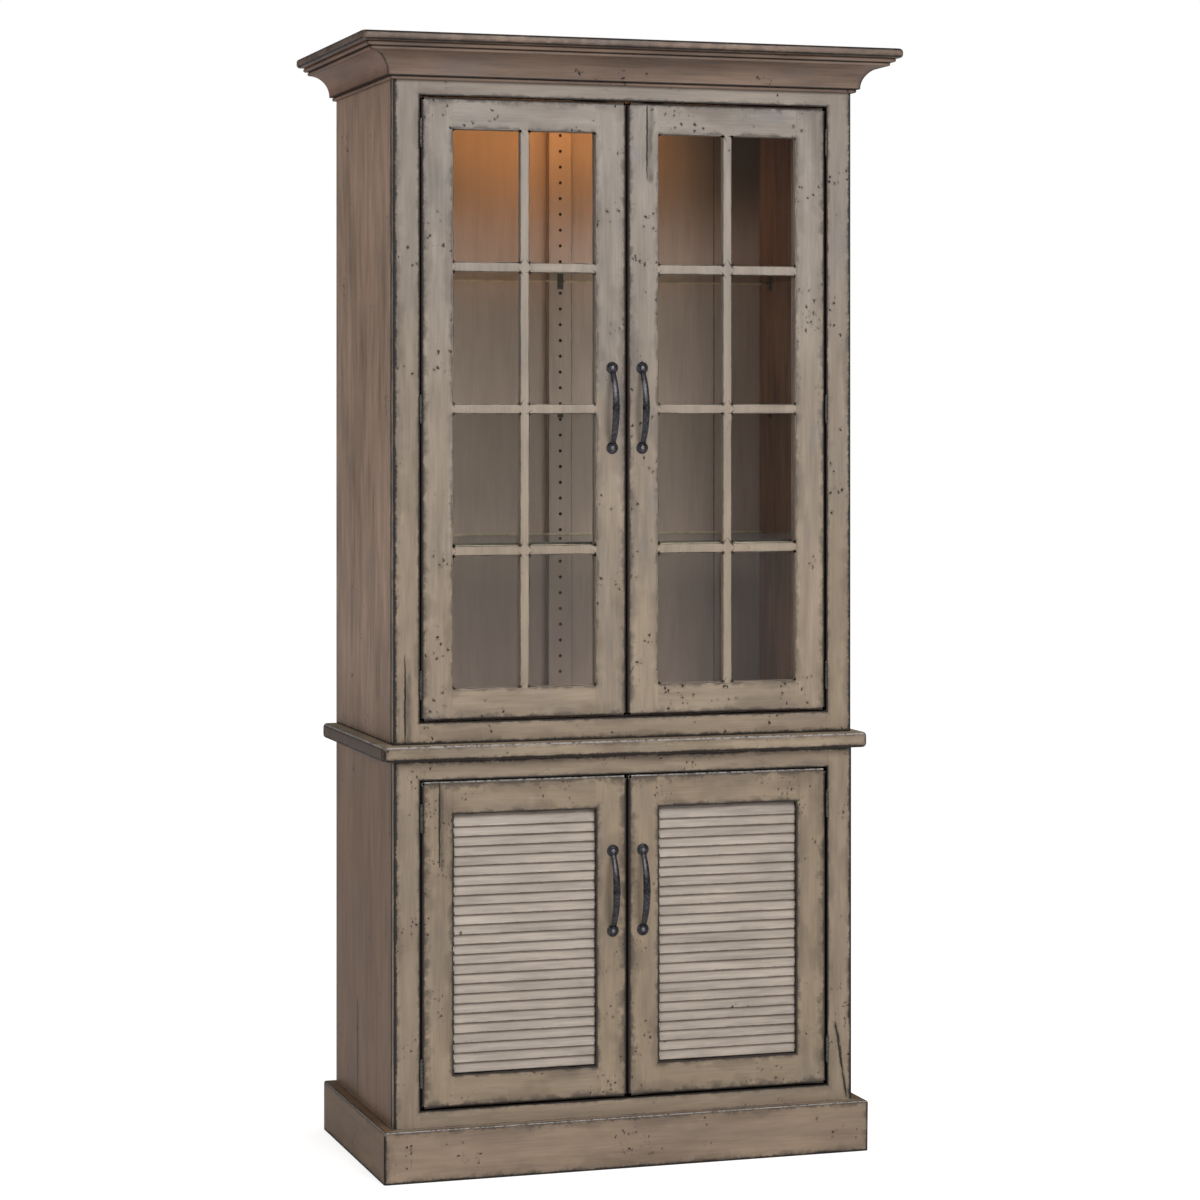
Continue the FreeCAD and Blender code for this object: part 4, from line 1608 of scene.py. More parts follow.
@dataclass
class Door:
    """A door's frame of two stiles and two rails, hung on one side; its pull and hinges are built on their
    own.
    """

    side: Side
    finishes: Finishes
    level: str = ""
    paint: str = ""
    round_edge: float = 5.0 * MM
    corner: float = 5.5 * MM
    ease: float = 1.2 * MM
    steps_a_metre: float = 80.0
    fewest_steps: int = 8
    shortest: float = 0.05
    wave: float = 4.2 * MM
    wave_scales: tuple[tuple[str, float], ...] = (("X", 0.028), ("Z", 0.033))
    tuck: float = 0.0
    seed: float = 40.0

    def __post_init__(self) -> None:
        """Read the door's own box and opening from the frame."""
        self.word = f"{self.level}_door_{self.side.word}"
        self.body = f"{self.level}_{self.side.word}_door"
        self.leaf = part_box(self.word + "_stiles")
        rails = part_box(self.word + "_rails")
        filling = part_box(self.word + ("_muntins" if self.level == "upper" else "_louvres"))
        self.sight = Vector((rails[0].x, -FAR, filling[0].z)), Vector((rails[1].x, FAR, filling[1].z))
        tuck = Vector((self.tuck, 0, self.tuck))
        self.inner = (self.sight[0] - tuck, self.sight[1] + tuck)
        self.seed += 3.7 * self.side.value + (9.0 if self.level == "upper" else 0.0)

    def build(self) -> None:
        """Build and dress the door."""
        self._stiles()
        self._rails()

    def _on_leaf(self, p: Vector) -> bool:
        """Whether a place lies on the door's outline as seen from the front."""
        return any(within(p[a], self.leaf[n][a]) for a in (0, 2) for n in (0, 1))

    def _near_corner(self, p: Vector) -> bool:
        """Whether a place lies in the softened corner of the leaf.

        Args:
            p: the place.

        Returns:
            True in a corner.
        """
        low, high = self.leaf
        reach = self.corner + 0.1 * MM
        return min(p.x - low.x, high.x - p.x) < reach and min(p.z - low.z, high.z - p.z) < reach

    def _rim(self, a: Vector, b: Vector) -> bool:
        """Whether a front edge runs along the leaf's outline, and not across a board or its opening.

        Args:
            a: the edge's one end.
            b: its other end.

        Returns:
            True on the rim.
        """
        (low, high), inner = self.leaf, self.inner
        if not both_on(a, b, Axis.Y, low.y) or self._on_leaf(a) != self._on_leaf(b):
            return False
        if both_on(a, b, Axis.X, inner[0].x, inner[1].x) or both_on(a, b, Axis.Z, inner[0].z, inner[1].z):
            return False
        if self._near_corner(a) and self._near_corner(b):
            return True
        return both_on(a, b, Axis.X, low.x, high.x) or both_on(a, b, Axis.Z, low.z, high.z)

    def _round_outline(self, piece: Piece) -> None:
        """Soften the leaf's corners, then round its whole front edge.

        Args:
            piece: a stile or rail.
        """
        low, high = self.leaf
        at_corner = lambda a, b: both_on(a, b, Axis.X, low.x, high.x) and both_on(a, b, Axis.Z, low.z, high.z)
        bevel(piece, lambda a, b: at_corner(a, b) and not within(a.y, b.y), self.corner, 5)
        bevel(piece, self._rim, self.round_edge, 6)

    def _wave(self, piece: Piece, test: Callable[[Vector], bool], ways: str) -> None:
        """Make chosen edges slightly uneven, as hand-rubbed wood is.

        Args:
            piece: the mesh.
            test: takes a corner's place.
            ways: the directions to move it in.
        """
        chosen = [vertex.index for vertex in piece.data.vertices if test(vertex.co)]
        if not chosen:
            return
        group = piece.vertex_groups.new(name="uneven")
        group.add(chosen, 1.0, "REPLACE")
        settings = {
            "strength": self.wave,
            "mid_level": 0.5,
            "vertex_group": "uneven",
            "texture_coords": "LOCAL",
        }
        for way in ways:
            name = "Uneven " + way
            texture = bpy.data.textures.get(name) or bpy.data.textures.new(name, "CLOUDS")
            texture.noise_scale = dict(self.wave_scales)[way]
            texture.noise_depth = 3
            apply_modifier(piece, "DISPLACE", texture=texture, direction=way, **settings)
        piece.vertex_groups.clear()

    def _steps_along(self, piece: Piece, axis: Axis) -> None:
        """Divide a board's long edges so that they can be worn unevenly.

        Args:
            piece: the board.
            axis: which way it runs.
        """
        if pick(piece, "EDGE", lambda a, b: abs(a[axis.value] - b[axis.value]) > self.shortest):
            length = (self.leaf[1] - self.leaf[0])[axis.value]
            steps = max(self.fewest_steps, round(self.steps_a_metre * length))
            bpy.ops.mesh.subdivide(number_cuts=steps)
        bpy.ops.object.mode_set(mode="OBJECT")

    def _board(self, name: str, low: Vector, high: Vector, grain: Axis, seed: float) -> Piece:
        """One stile or rail with its share of the leaf's rounded outline.

        Args:
            name: the board's name.
            low: its lowest corner.
            high: its highest corner.
            grain: which way it runs.
            seed: where its grain is read.

        Returns:
            The board.
        """
        piece = box_piece(name, low, high)
        self._steps_along(piece, grain)
        self._round_outline(piece)
        front = self.leaf[0].y
        across, along = (0, 2) if grain is Axis.Z else (2, 0)
        first, last = self.inner[0][along] + 3 * MM, self.inner[1][along] - 3 * MM
        inside = lambda p: first < p[along] < last
        at_inner = lambda p: any(within(p[across], i[across]) for i in self.inner)
        lip = lambda p: within(p.y, front) and inside(p) and at_inner(p)
        bevel(piece, lambda a, b: lip(a) and lip(b), self.ease, 2)
        if not self.tuck:
            near = lambda p: any(abs(p[across] - i[across]) < 1.5 * self.ease for i in self.inner)
            worn = lambda p: near(p) and p.y < front + 3 * MM and inside(p)
            self._wave(piece, worn, "X" if grain is Axis.Z else "Z")
        self._marks(grain, seed).write(piece)
        return piece

    def _marks(self, grain: Axis, seed: float) -> Marks:
        """The marks of one of the door's own boards."""
        return Marks(grain, seed, Marks.seen_from_front(self.leaf), self.sight)

    def _splits(self) -> list[Split]:
        """The old cracks of this door's stiles."""
        return []

    def _stiles(self) -> None:
        """The two uprights."""
        low, high = self.leaf
        boards = []
        for place, (a, b) in enumerate(((low.x, self.inner[0].x), (self.inner[1].x, high.x))):
            corners = Vector((a, low.y, low.z)), Vector((b, high.y, high.z))
            seed = self.seed + place
            board = self._board(f"{self.word}_stile_{place}", *corners, Axis.Z, seed)
            for crack in self._splits():
                if a < crack.top.x < b:
                    crack.cut(board)
                    self._marks(Axis.Z, seed).write(board)
            boards.append(board)
        self._dress("stile", boards)

    def _rails(self) -> None:
        """The two level boards between the stiles."""
        low, high = self.leaf
        left, right = self.inner[0].x, self.inner[1].x
        boards = []
        for place, (a, b) in enumerate(((low.z, self.inner[0].z), (self.inner[1].z, high.z))):
            corners = Vector((left, low.y, a)), Vector((right, high.y, b))
            boards.append(self._board(f"{self.word}_rail_{place}", *corners, Axis.X, self.seed + 5 + place))
        self._dress("rail", boards)

    def _dress(self, word: str, boards: Sequence[Piece]) -> None:
        """Join the door's stiles or rails and dress them."""
        piece = join(f"{self.word}_{word}_boards", boards)
        dress(piece, self.finishes[self.paint], "case_paint", self.body, f"{self.word}_{word}s")


@dataclass
class GlazedDoor(Door):
    """An upper door: eight lites of sheet glass behind one grid of glazing bars."""

    level: str = "upper"
    paint: str = "Door paint"
    columns: int = 2
    rows: int = 4
    bar_width: float = 18.0 * MM
    bar_round: float = 2.2 * MM
    bar_corner: float = 2.6 * MM
    bar_setback: float = 0.15 * MM
    bar_reach: float = 4.0 * MM
    bar_steps: int = 20
    tuck: float = 1.2 * MM
    reveal_shade: float = 0.69
    bead_ease: float = 0.6 * MM

    def build(self) -> None:
        """Build and dress the door with its glazing."""
        super().build()
        self._bars()
        self._stops()
        coat(bpy.data.objects[self.word + "_glass"], self.finishes["Door glass"])

    def _splits(self) -> list[Split]:
        """A long check at the top of the right door's meeting stile.

        Returns:
            The check, on the right door.
        """
        x, front = 40.1 * MM, self.leaf[0].y
        check = Split(Vector((x, front, 2.016)), Vector((x, front, 1.876)))
        return [] if self.side is Side.LEFT else [check]

    def _lites(self) -> list[Box]:
        """The eight openings between the bars.

        Returns:
            Each one's lowest and highest corner.
        """
        low, high = self.sight
        bar = self.bar_width
        wide = (high.x - low.x - (self.columns - 1) * bar) / self.columns
        tall = (high.z - low.z - (self.rows - 1) * bar) / self.rows
        lites = []
        for column in range(self.columns):
            for row in range(self.rows):
                corner = Vector((low.x + column * (wide + bar), 0, low.z + row * (tall + bar)))
                lites.append((corner, corner + Vector((wide, 0, tall))))
        return lites

    def _marks(self, grain: Axis, seed: float) -> Marks:
        """The marks of one of the door's own boards, its inner edge open only at the lites."""
        return Marks(grain, seed, Marks.seen_from_front(self.leaf), edge=self._lite_distance)

    def _lite_distance(self, p: Vector) -> float:
        """How far a place lies outside the nearest lite with its rounded corners.

        Args:
            p: the place.

        Returns:
            The distance, nought in a lite.
        """
        gaps = []
        corner = self.bar_corner
        for low, high in self._lites():
            x = max(low.x - p.x, p.x - high.x) + corner
            z = max(low.z - p.z, p.z - high.z) + corner
            gaps.append(math.hypot(max(x, 0.0), max(z, 0.0)) + min(max(x, z), 0.0) - corner)
        return max(0.0, min(gaps))

    def _bar_sheet(self, name: str, low: Vector, high: Vector, front: float) -> Piece:
        """A flat sheet cut along every bar, its lites taken out and their corners rounded.

        Args:
            name: the sheet's name.
            low: the bars' lowest corner.
            high: their highest corner.
            front: the plane of their front.

        Returns:
            The sheet.
        """
        reach = 2 * self.bar_reach
        middle = Vector(((low.x + high.x) / 2, front, (low.z + high.z) / 2))
        add = bpy.ops.mesh.primitive_plane_add
        sheet = primitive(add, name, size=1, location=middle, rotation=(UPRIGHT, 0, 0))
        pick_all(sheet)
        size = (high.x - low.x + reach, 1, high.z - low.z + reach)
        bpy.ops.transform.resize(value=size, center_override=middle)
        lites = self._lites()
        half = self.bar_width / 2
        for axis in (0, 2):
            normal = Vector((float(axis == 0), 0, float(axis == 2)))
            starts = [lite[0][axis] for lite in lites if lite[0][axis] > low[axis] + half]
            bars = sorted({round(start - half, 6) for start in starts})
            cuts = [bar + shift for bar in bars for shift in (-half, 0, half)] + [low[axis], high[axis]]
            for place in cuts:
                pick_all(sheet)
                bpy.ops.mesh.bisect(plane_co=normal * place, plane_no=normal)
        pick(sheet, "FACE", lambda centre, normal: self._lite_distance(centre) == 0)
        bpy.ops.mesh.delete(type="FACE")
        pick(sheet, "EDGE", lambda a, b: (a - b).length > 0.03)
        bpy.ops.mesh.subdivide(number_cuts=self.bar_steps)
        corners = [Vector((a.x, front, b.z)) for lite in lites for a in lite for b in lite]
        pick(sheet, "VERT", lambda p: any((p - c).length < 0.02 * MM for c in corners))
        bpy.ops.mesh.bevel(offset=self.bar_corner, segments=3, affect="VERTICES")
        return sheet

    def _bars(self) -> None:
        """One grid of bars, its edges rounded and uneven."""
        node = self.word + "_muntins"
        low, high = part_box(node)
        front = self.leaf[0].y + self.bar_setback
        grid = self._bar_sheet(node + "_grid", low, high, front)
        pick_all(grid)
        bpy.ops.mesh.extrude_region_move(TRANSFORM_OT_translate={"value": (0, high.y - front, 0)})
        done(grid)
        on_rim = lambda p: within(p.y, front) and self._lite_distance(p) < 1.2 * MM
        bevel(grid, lambda a, b: on_rim(a) and on_rim(b), self.bar_round, 3)
        self._wave(grid, lambda p: self._lite_distance(p) < 3.0 * MM and p.y < high.y - MM, "XZ")
        # The bars' reveals behind the rounded front are marked darker: painted shade, with glaze gathered
        # there.
        deep = lambda p: p.y > front + 0.9 * self.bar_round
        to_edge = lambda p: self.bar_width if deep(p) else self._lite_distance(p)
        shade = lambda p: self.reveal_shade * deep(p)
        Marks(Axis.Z, self.seed + 8, EVERYWHERE, edge=to_edge, groove=shade).write(grid)
        dress(grid, self.finishes["Muntin paint"], "case_paint", self.body, node)

    def _stops(self) -> None:
        """Beads behind the glass."""
        node = self.word + "_glass_stops"
        low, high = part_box(node)
        left, right = self.sight[0].x, self.sight[1].x
        spans = (
            (low.x, low.z, left, high.z, Axis.Z),
            (right, low.z, high.x, high.z, Axis.Z),
            (left, low.z, right, self.sight[0].z, Axis.X),
            (left, self.sight[1].z, right, high.z, Axis.X),
        )
        beads = []
        for place, (x_low, z_low, x_high, z_high, grain) in enumerate(spans):
            corners = Vector((x_low, low.y, z_low)), Vector((x_high, high.y, z_high))
            bead = Board(*corners, grain, self.seed + 11 + place, self.bead_ease)
            beads.append(bead.build(f"{node}_{place}"))
        dress(join(node + "_beads", beads), self.finishes["Inside paint"], "case_paint", self.body, node)


@dataclass
class LouvredDoor(Door):
    """A lower door: leaning slats housed in the stiles."""

    level: str = "lower"
    paint: str = "Lower door paint"
    slat_width: float = 25.0 * MM
    slat_thickness: float = 5.0 * MM
    slat_pitch: float = 18.4 * MM
    slat_lean: float = math.radians(20)
    slat_round: float = 1.6 * MM
    slat_ease: float = 0.5 * MM
    groove_reach: float = 1.0 * MM

    def build(self) -> None:
        """Build and dress the door with its slats."""
        super().build()
        self._slats()

    def _splits(self) -> list[Split]:
        """A long check at the top of the left door's hinge stile.

        Returns:
            The check, on the left door.
        """
        x, front = -369.9 * MM, self.leaf[0].y
        check = Split(Vector((x, front, 0.737)), Vector((x, front, 0.586)))
        return [] if self.side is Side.RIGHT else [check]

    def _slat(self, low: Vector, high: Vector) -> Piece:
        """The lowest slat, leaning, its front edges rounded.

        Args:
            low: the louvres' lowest corner.
            high: their highest corner.

        Returns:
            The slat.
        """
        lean, thick = self.slat_lean, self.slat_thickness
        along = Vector((0, math.sin(lean), math.cos(lean)))
        across = Vector((0, math.cos(lean), -math.sin(lean)))
        foot = Vector(((low.x + high.x) / 2, low.y, low.z + thick * math.sin(lean)))
        middle = foot + across * thick / 2 + along * self.slat_width / 2
        length = self.sight[1].x - self.sight[0].x + 2 * self.groove_reach
        add = bpy.ops.mesh.primitive_cube_add
        size = (length, thick, self.slat_width)
        slat = primitive(add, "slat", size=1, location=middle, rotation=(-lean, 0, 0), scale=size)
        long = lambda a, b: abs(a.x - b.x) > length / 2
        deep = lambda p: (p - foot).dot(across)
        front = lambda p: abs(deep(p)) < 0.01 * MM
        bevel(slat, lambda a, b: long(a, b) and front(a) and front(b), self.slat_round, 4)
        back = lambda a, b: long(a, b) and not front(b) and deep(a) > thick * 0.9
        bevel(slat, back, self.slat_ease, 1)
        return slat

    def _slats(self) -> None:
        """One slat shaped and turned, then copied up the door."""
        node = self.word + "_louvres"
        low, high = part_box(node)
        slat = self._slat(low, high)
        lean = self.slat_lean
        room = high.z - low.z - self.slat_width * math.cos(lean) - self.slat_thickness * math.sin(lean)
        steps = int(room / self.slat_pitch)
        slats = []
        for place in range(steps + 1):
            rise = room / steps * place
            copy = copy_of(slat, Vector((0, 0, rise)))
            base = low.z + rise
            # Each slat's mark box starts at its foot, so a dark line runs along its lower edge: painted
            # shadow of the gap under the slat, over the glaze line.
            whole = Vector((self.sight[0].x, low.y, base)), Vector((self.sight[1].x, low.y + FAR, base + FAR))
            Marks(Axis.X, self.seed + 0.37 * place, whole).write(copy)
            slats.append(copy)
        bpy.data.objects.remove(slat, do_unlink=True)
        dress(join(node + "_slats", slats), self.finishes["Louvre paint"], "louvre_paint", self.body, node)


@dataclass
class Pull:
    """A bowed iron pull on two domed rosettes, each held by a slotted screw."""

    door: Door
    finishes: Finishes
    screw_share: float = 0.34
    screw_seat: float = 4.0 * MM
    screw_rise: float = 2.2 * MM
    screw_edge: float = 0.8 * MM
    slot: tuple[float, float] = (0.7 * MM, 0.4 * MM)
    slot_turns: tuple[float, float] = (35.0, 105.0)
    end_radius: float = 4.3 * MM
    middle_radius: float = 7.1 * MM
    flare: float = 1.6 * MM
    collar_stand: float = 0.45 * MM
    collar_half: float = 1.1 * MM
    collar_step: float = 2.4 * MM
    projection: float = 26.0 * MM
    root_inset: float = 8.0 * MM
    root_offset: float = 5.0 * MM
    rings: int = 40
    facets: int = 24
    rosette_steps: tuple[tuple[float, float], ...] = (
        (1.0, 0.0),
        (1.0, 1.3),
        (0.95, 1.9),
        (0.83, 2.5),
        (0.76, 3.6),
        (0.68, 4.7),
        (0.58, 5.3),
        (0.49, 5.1),
        (0.43, 4.1),
    )

    def build(self) -> None:
        """Build and dress the pull."""
        node = self.door.word + "_pull"
        low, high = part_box(node)
        x, face, reach = (low.x + high.x) / 2, self.door.leaf[0].y, (high.x - low.x) / 2
        top, foot = high.z - reach, low.z + reach
        parts = [self._grip(x, face, foot, top)]
        for shift in (-self.collar_step, 0.0, self.collar_step):
            middle = Vector((x, face - self.projection, (top + foot) / 2 + shift))
            parts.append(self._collar(middle, shift == 0))
        for z, turn in zip((top, foot), self.slot_turns):
            parts.append(self._rosette(Vector((x, face, z)), reach))
            parts.append(self._screw(x, face, z, reach, turn + 20 * self.door.side.value))
        piece = join(node + "_iron", parts)
        dress(piece, self.finishes["Black iron"], "black_iron", self.door.body, node)

    def _bow(self, span: float) -> tuple[float, float]:
        """The bow's radius and half its angle.

        Args:
            span: the distance between the rosettes.

        Returns:
            The radius and the half angle.
        """
        half_span = span / 2 - self.root_inset
        rise = self.projection - self.root_offset
        radius = (half_span**2 + rise**2) / (2 * rise)
        return radius, math.asin(half_span / radius)

    def _grip(self, x: float, face: float, z_low: float, z_high: float) -> Piece:
        """A ring of iron spun along the bow, then swelled towards its middle.

        Args:
            x: the pull's middle line.
            face: the door's front.
            z_low: the lower rosette's height.
            z_high: the upper rosette's height.

        Returns:
            The grip.
        """
        radius, half_angle = self._bow(z_high - z_low)
        centre = Vector((x, face - self.projection + radius, (z_low + z_high) / 2))
        foot = centre + Vector((0, -radius * math.cos(half_angle), -radius * math.sin(half_angle)))
        add = bpy.ops.mesh.primitive_circle_add
        size = {"vertices": self.facets, "radius": self.end_radius, "fill_type": "NGON"}
        grip = primitive(add, "grip", location=foot, rotation=(-half_angle, 0, 0), **size)
        pick_all(grip)
        bpy.ops.mesh.spin(steps=self.rings, angle=2 * half_angle, center=centre, axis=(1, 0, 0))
        reach = half_angle / self.rings / 2
        for ring in range(self.rings + 1):
            angle = -half_angle + 2 * half_angle * ring / self.rings
            share = angle / half_angle
            wide = self.end_radius + (self.middle_radius - self.end_radius) * (1 - share**2) ** 0.6
            wide += self.flare * max(0.0, (abs(share) - 0.88) / 0.12) ** 2
            place = centre + Vector((0, -radius * math.cos(angle), radius * math.sin(angle)))
            in_ring = lambda p: abs(math.atan2(p.z - centre.z, centre.y - p.y) - angle) < reach
            pick(grip, "VERT", in_ring)
            bpy.ops.transform.resize(value=(wide / self.end_radius,) * 3, center_override=place)
        return done(grip)

    def _collar(self, foot: Vector, middle: bool) -> Piece:
        """A small rounded bead round the middle of the grip.

        Args:
            foot: its centre.
            middle: whether it is the middle one of three, which stands out most.

        Returns:
            The bead.
        """
        half = self.collar_half
        reach = self.middle_radius + self.collar_stand * (1.0 if middle else 0.7)
        angles = (-1.2, -0.6, 0, 0.6, 1.2)
        profile = [(0.0, -half)]
        profile += [(reach - half + half * math.cos(a), half * math.sin(a)) for a in angles]
        return turned_piece("collar", profile + [(0.0, half)], foot, Axis.Z, self.facets)

    def _rosette(self, foot: Vector, reach: float) -> Piece:
        """A foot stepped up to a raised ring round its screw.

        Args:
            foot: its centre on the door's front.
            reach: its radius.

        Returns:
            The rosette.
        """
        profile = [(0.0, 0.0)] + [(share * reach, -rise * MM) for share, rise in self.rosette_steps]
        return turned_piece("rosette", profile + [(0.0, -self.screw_seat)], foot, Axis.Y, 32)

    def _screw(self, x: float, face: float, z: float, reach: float, turn: float) -> Piece:
        """A domed screw head with its slot, painted lighter than the iron: rubbed metal, and a painted
        highlight.

        Args:
            x: the pull's middle line.
            face: the door's front.
            z: its height.
            reach: the rosette's radius.
            turn: how far its slot is turned, in degrees.

        Returns:
            The screw.
        """
        radius, seat, edge = self.screw_share * reach, self.screw_seat, self.screw_edge
        dome = self.screw_rise - edge
        head = [(0.0, -seat), (radius, -seat), (radius, -seat - edge)]
        head += [(radius * math.cos(a), -seat - edge - dome * math.sin(a)) for a in (0.3, 0.7, 1.1)]
        head += [(0.0, -seat - self.screw_rise)]
        screw = turned_piece("screw", head, Vector((x, face, z)), Axis.Y, 24)
        place = Vector((x, face - seat - self.screw_rise, z))
        add = bpy.ops.mesh.primitive_cube_add
        size = Vector((radius * 1.2, *self.slot))
        rotation = (0, math.radians(turn), 0)
        carve(screw, primitive(add, "slot", size=2, location=place, rotation=rotation, scale=size))
        # The screw head is marked to take the bright colour: rubbed metal, and a painted highlight.
        layer = screw.data.attributes.new("rubbed", "FLOAT", "POINT")
        layer.data.foreach_set("value", [1.0] * len(screw.data.vertices))
        return screw


@dataclass
class Hinges:
    """Ball-tip butt hinges: leaves let into the gap, knuckles and pin in front of it."""

    layout: Layout
    finishes: Finishes
    length: float = 46.0 * MM
    barrel: float = 3.0 * MM
    stand_off: float = 0.3 * MM
    pin: float = 1.4 * MM
    bore: float = 1.45 * MM
    leaf: float = 1.2 * MM
    leaf_width: float = 20.0 * MM
    leaf_corner: float = 1.5 * MM
    knuckles: int = 3
    knuckle_ease: float = 0.3 * MM
    web_lap: float = 0.4 * MM
    web_ease: float = 0.15 * MM
    gap: float = 0.3 * MM
    tip: float = 2.6 * MM
    tip_height: float = 4.4 * MM
    from_end: float = 70.0 * MM

    def build(self) -> None:
        """Build and dress all the hinges."""
        frame_parts: list[Piece] = []
        pins: list[Piece] = []
        for level in ("upper", "lower"):
            low, high = self.layout.opening(level)
            heights = [low.z + self.from_end, high.z - self.from_end]
            if level == "upper":
                heights.insert(1, (low.z + high.z) / 2)
            face = self.layout.upper_face if level == "upper" else self.layout.lower_face
            for side in Side:
                door_parts: list[Piece] = []
                for z in heights:
                    frame_parts += self._leaf(side, face, z, True)
                    door_parts += self._leaf(side, face, z, False)
                    pins.append(self._pin(side, face, z))
                node = f"{level}_door_{side.word}_hinge_leaves"
                self._dress(node, door_parts, f"{level}_{side.word}_door")
        self._dress("hinge_frame_leaves", frame_parts, "root")
        self._dress("hinge_pins", pins, "root")

    def _dress(self, node: str, parts: Sequence[Piece], body: str) -> None:
        """Join a node's pieces and dress them."""
        dress(join(node + "_steel", parts), self.finishes["Hinge steel"], "hinge_steel", body, node)

    def _axis(self, side: Side, face: float, z: float) -> Vector:
        """The hinge's axis at a height."""
        x = self.layout.opening_half - self.layout.door_gap / 2
        return Vector((side.value * x, face - self.barrel - self.stand_off, z))

    def _spans(self, z: float, on_frame: bool) -> list[tuple[float, float]]:
        """Low and high ends of one leaf's knuckles.

        Args:
            z: the hinge's middle height.
            on_frame: whether the leaf is the frame's and not the door's.

        Returns:
            The spans from the lowest up.
        """
        tall = (self.length - (self.knuckles - 1) * self.gap) / self.knuckles
        first = 0 if on_frame else 1
        starts = [z - self.length / 2 + (tall + self.gap) * n for n in range(first, self.knuckles, 2)]
        return [(start, start + tall) for start in starts]

    def _leaf(self, side: Side, face: float, z: float, on_frame: bool) -> list[Piece]:
        """One leaf with its knuckles.

        Args:
            side: which side the hinge is on.
            face: the face frame's front.
            z: the hinge's middle height.
            on_frame: whether the leaf is the frame's and not the door's.

        Returns:
            Its pieces.
        """
        axis = self._axis(side, face, z)
        edge = self.layout.opening_half - (self.leaf if on_frame else self.layout.door_gap)
        left, right = side.between(edge, edge + self.leaf)
        low = Vector((left, axis.y + self.barrel, z - self.length / 2))
        high = Vector((right, axis.y + self.leaf_width, z + self.length / 2))
        sheet = box_piece("leaf", low, high)
        bevel(sheet, lambda a, b: not within(a.x, b.x), self.leaf_corner, 3)
        parts = [sheet]
        for start, end in self._spans(z, on_frame):
            parts.append(self._knuckle(axis, start - z, end - z))
            low = Vector((left, axis.y + self.bore, start))
            high = Vector((right, axis.y + self.barrel + self.web_lap, end))
            web = box_piece("web", low, high)
            bevel(web, lambda a, b: not within(a.z, b.z), self.web_ease, 1)
            parts.append(web)
        return parts

    def _knuckle(self, axis: Vector, low: float, high: float) -> Piece:
        """One knuckle of the barrel.

        Args:
            axis: the hinge's axis at its middle.
            low: the knuckle's lower end from there.
            high: its upper end.

        Returns:
            The knuckle.
        """
        ease = self.knuckle_ease
        profile = [
            (self.bore, low),
            (self.barrel - ease, low),
            (self.barrel, low + ease),
            (self.barrel, high - ease),
            (self.barrel - ease, high),
            (self.bore, high),
            (self.bore, low),
        ]
        return turned_piece("knuckle", profile, axis, Axis.Z, 28)

    def _pin(self, side: Side, face: float, z: float) -> Piece:
        """The pin, with a ball on a small neck at each end.

        Args:
            side: which side the hinge is on.
            face: the face frame's front.
            z: the hinge's middle height.

        Returns:
            The pin.
        """
        half, ball, tip, sink = self.length / 2, self.tip_height / 2, self.tip, 0.1 * MM
        upper = [
            (self.pin, half),
            (tip * 0.85, half + 0.05 * MM),
            (tip * 0.85, half + 0.6 * MM),
            (tip * 0.6, half + 0.9 * MM),
        ]
        centre, rise = half + ball + sink, self.tip_height - ball - sink
        upper += [(tip * math.cos(a), centre + rise * math.sin(a)) for a in (-0.8, -0.4, 0.0, 0.4, 0.8, 1.2)]
        upper += [(0.0, half + self.tip_height)]
        lower = [(radius, -height) for radius, height in reversed(upper)]
        return turned_piece("pin", lower + upper, self._axis(side, face, z), Axis.Z, 20)


def area_lamp(name: str, place: Vector, aim: Vector, power: float, colour: Colour) -> Piece:
    """Add an area lamp.

    Args:
        name: its name.
        place: where it hangs.
        aim: the way it shines.
        power: its power in watts.
        colour: its colour.

    Returns:
        The lamp.
    """
    bpy.ops.object.light_add(type="AREA", location=place)
    lamp = bpy.context.object
    lamp.name = name
    lamp.data.energy = power
    lamp.data.color = colour
    lamp.rotation_euler = aim.to_track_quat("-Z", "Y").to_euler()
    return lamp


